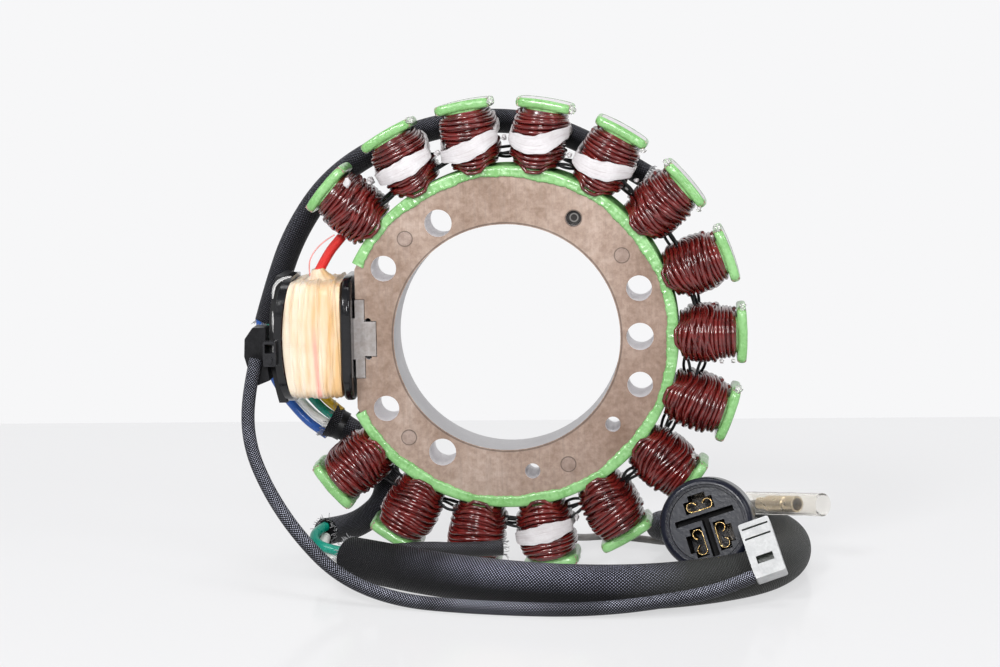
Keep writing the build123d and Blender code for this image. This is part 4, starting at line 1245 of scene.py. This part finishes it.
def ribbonGrid(path, flat, wide, thick, seed):
    # a flat closed band along a closed path: the flat direction carries its width, ridged like laid yarns
    tangent = unit(np.roll(path, -1, axis=0) - np.roll(path, 1, axis=0))
    flat = unit(flat - tangent * np.sum(flat * tangent, axis=1, keepdims=True))
    out = np.cross(flat, tangent)
    x, y = squareLoop(roundAngles(44), 1.0, 1.0, 3.0)
    yarns = 0.16 * np.cos(8 * np.pi * x)
    phase = np.random.default_rng(seed).uniform(0, 2 * np.pi, 4)
    share = roundAngles(len(path))
    bow = 0.25 * np.sin(3 * share + phase[0]) + 0.15 * np.sin(7 * share + phase[1])
    frayed = 1 + 0.05 * np.sin(11 * share + phase[2]) + 0.04 * np.sin(23 * share + phase[3])
    sideways = x[None, :] * (wide * frayed)[:, None] / 2
    raised = (y * (0.5 + yarns))[None, :] * thick[:, None]
    outwards = raised + (bow[:, None] * x[None, :] ** 2) * thick[:, None]
    return path[:, None, :] + sideways[..., None] * flat[:, None, :] + outwards[..., None] * out[:, None, :]


def lacingPiece(angle, nodeName, left, middle, right, back, withSleeve, seed):
    # the band's radius runs left, middle, right in front, then eases to the radius behind and back again
    count = 180
    theta = roundAngles(count)
    x, y = squareLoop(theta, lacing["side"], lacing["out"], lacing["power"])
    across = np.clip(x / lacing["side"], -1, 1)
    x = x * (1 + lacing["gap"] * np.exp(-((y - lacing["gapAt"]) / 1.8) ** 2))
    front = middle + (left - right) / 2 * across + ((left + right) / 2 - middle) * across ** 2
    ease = 0.5 - 0.5 * np.clip(y / (0.75 * lacing["out"]), -1, 1)
    radial = front * (1 - ease) + back * ease
    local = np.stack([x, y, radial], axis=-1)
    gather = 1 - lacing["gather"] * np.where(y > 0, abs(across) ** 3, 1.0)
    wide = lacing["wide"] * gather
    thick = lacing["thick"] * (1.0 + 1.1 * (1 - gather))
    flat = np.broadcast_to(poleAxes(angle)[0], (count, 3))
    patches = [patch(ribbonGrid(onPole(local, angle), flat, wide, thick, seed), closeRows=True)]
    for number, (bearing, radius, depth, sizes) in enumerate(knots[nodeName]):
        spot = onPole(np.array([0.0, depth, radius]), bearing)
        patches.append(rod(lump(spot, sizes, seed + 20 + number)))
    if withSleeve:
        path = evenly(smoothRoute(sleeves["upper_sleeve"]["points"]), 0.2)
        relative = path - axisPoint
        bearing = np.degrees(np.arctan2(relative[:, 2], relative[:, 0]))
        at = int(np.argmin(abs(bearing - angle)))
        tangent, a, b = (v[at] for v in carriedFrame(path))
        loop = lacing["loop"]
        ring = circles(path[at], loop["radius"], count, a, b)
        ring = ring + tangent * (loop["slant"] * np.sin(theta))[:, None]
        wide, thick = np.full(count, loop["wide"]), np.full(count, loop["thick"])
        grid = ribbonGrid(ring, np.broadcast_to(tangent, ring.shape), wide, thick, seed + 9)
        patches.append(patch(grid, closeRows=True))
    writePiece("tape_" + nodeName, patches, ("lacing",), nodeName, 70.0)


for number, band in enumerate(bands):
    lacingPiece(*band, seed=70 + number)
print("lacing tied:", len(bands))


# Table, backdrop and light, in metres
stage = {
    "backEdge": 0.239,
    "floor": (0.68, 0.68, 0.69),
    "wall": 0.93,
    "glow": 0.64,
    "world": 0.34,
}


def stageFinish(name, color, rough, share):
    # seen by the camera and in gloss as a plain pale tone by the given share, and lit as a surface otherwise
    f = Finish(name, Roughness=rough, Base_Color=color, IOR=1.15)
    rays = addNode(f.tree, "LightPath", {}, "Is Camera Ray")
    gloss = rays.math("MAXIMUM", rays.out("Is Glossy Ray"))
    seen = gloss.math("MAXIMUM", rays.out("Is Transmission Ray")) * share
    glow = addNode(f.tree, "Emission", {"Color": (stage["wall"], stage["wall"], stage["wall"] * 1.01)})
    both = addNode(f.tree, "MixShader", [seen, Wire(f.tree, f.shader.outputs[0]), glow])
    f.tree.links.new(both.socket, f.tree.nodes["Material Output"].inputs["Surface"])
    return f.material


def stagePlane(name, corners, material):
    mesh = bpy.data.meshes.new(name)
    mesh.from_pydata(corners, [], [(0, 1, 2, 3)])
    mesh.materials.append(material)
    plane = bpy.data.objects.new(name, mesh)
    bpy.context.scene.collection.objects.link(plane)


edge = stage["backEdge"]
stagePlane("table_top", [(-4, -2, 0), (4, -2, 0), (4, edge, 0), (-4, edge, 0)],
           stageFinish("tableTop", stage["floor"], 0.12, stage["glow"]))
stagePlane("back_wall", [(-5, 1.6, -2), (5, 1.6, -2), (5, 1.6, 3), (-5, 1.6, 3)],
           stageFinish("backWall", (0.85, 0.85, 0.85), 0.9, 1.0))

world = bpy.data.worlds.new("studio")
bpy.context.scene.world = world
world.use_nodes = True
world.node_tree.nodes["Background"].inputs["Color"].default_value = (0.96, 0.97, 1.0, 1.0)
world.node_tree.nodes["Background"].inputs["Strength"].default_value = stage["world"]

lamps = {
    "key": {"place": (-0.42, -0.85, 0.72), "aim": (0.0, 0.0, 0.06), "size": 0.24, "power": 7.4},
    "fill": {"place": (0.85, -0.62, 0.50), "aim": (0.0, 0.0, 0.06), "size": 0.28, "power": 2.9},
    "top": {"place": (0.05, 0.10, 1.1), "aim": (0.0, 0.0, 0.05), "size": 0.5, "power": 3.3},
    "front": {"place": (0.05, -1.20, 0.40), "aim": (0.0, 0.0, 0.06), "size": 0.20, "power": 8.2},
}


def addLamp(name, made):
    data = bpy.data.lights.new(name, "AREA")
    data.shape = "SQUARE"
    data.size = made["size"]
    data.energy = made["power"]
    lamp = bpy.data.objects.new(name, data)
    back = unit(np.array(made["place"]) - np.array(made["aim"]))
    side = unit(np.cross(np.array([0.0, 0.0, 1.0]), back))
    placeInScene(lamp, side, np.cross(back, side), back, made["place"])


for lampName, made in lamps.items():
    addLamp(lampName, made)
bpy.context.scene.view_settings.view_transform = "Standard"
print("stage lit")
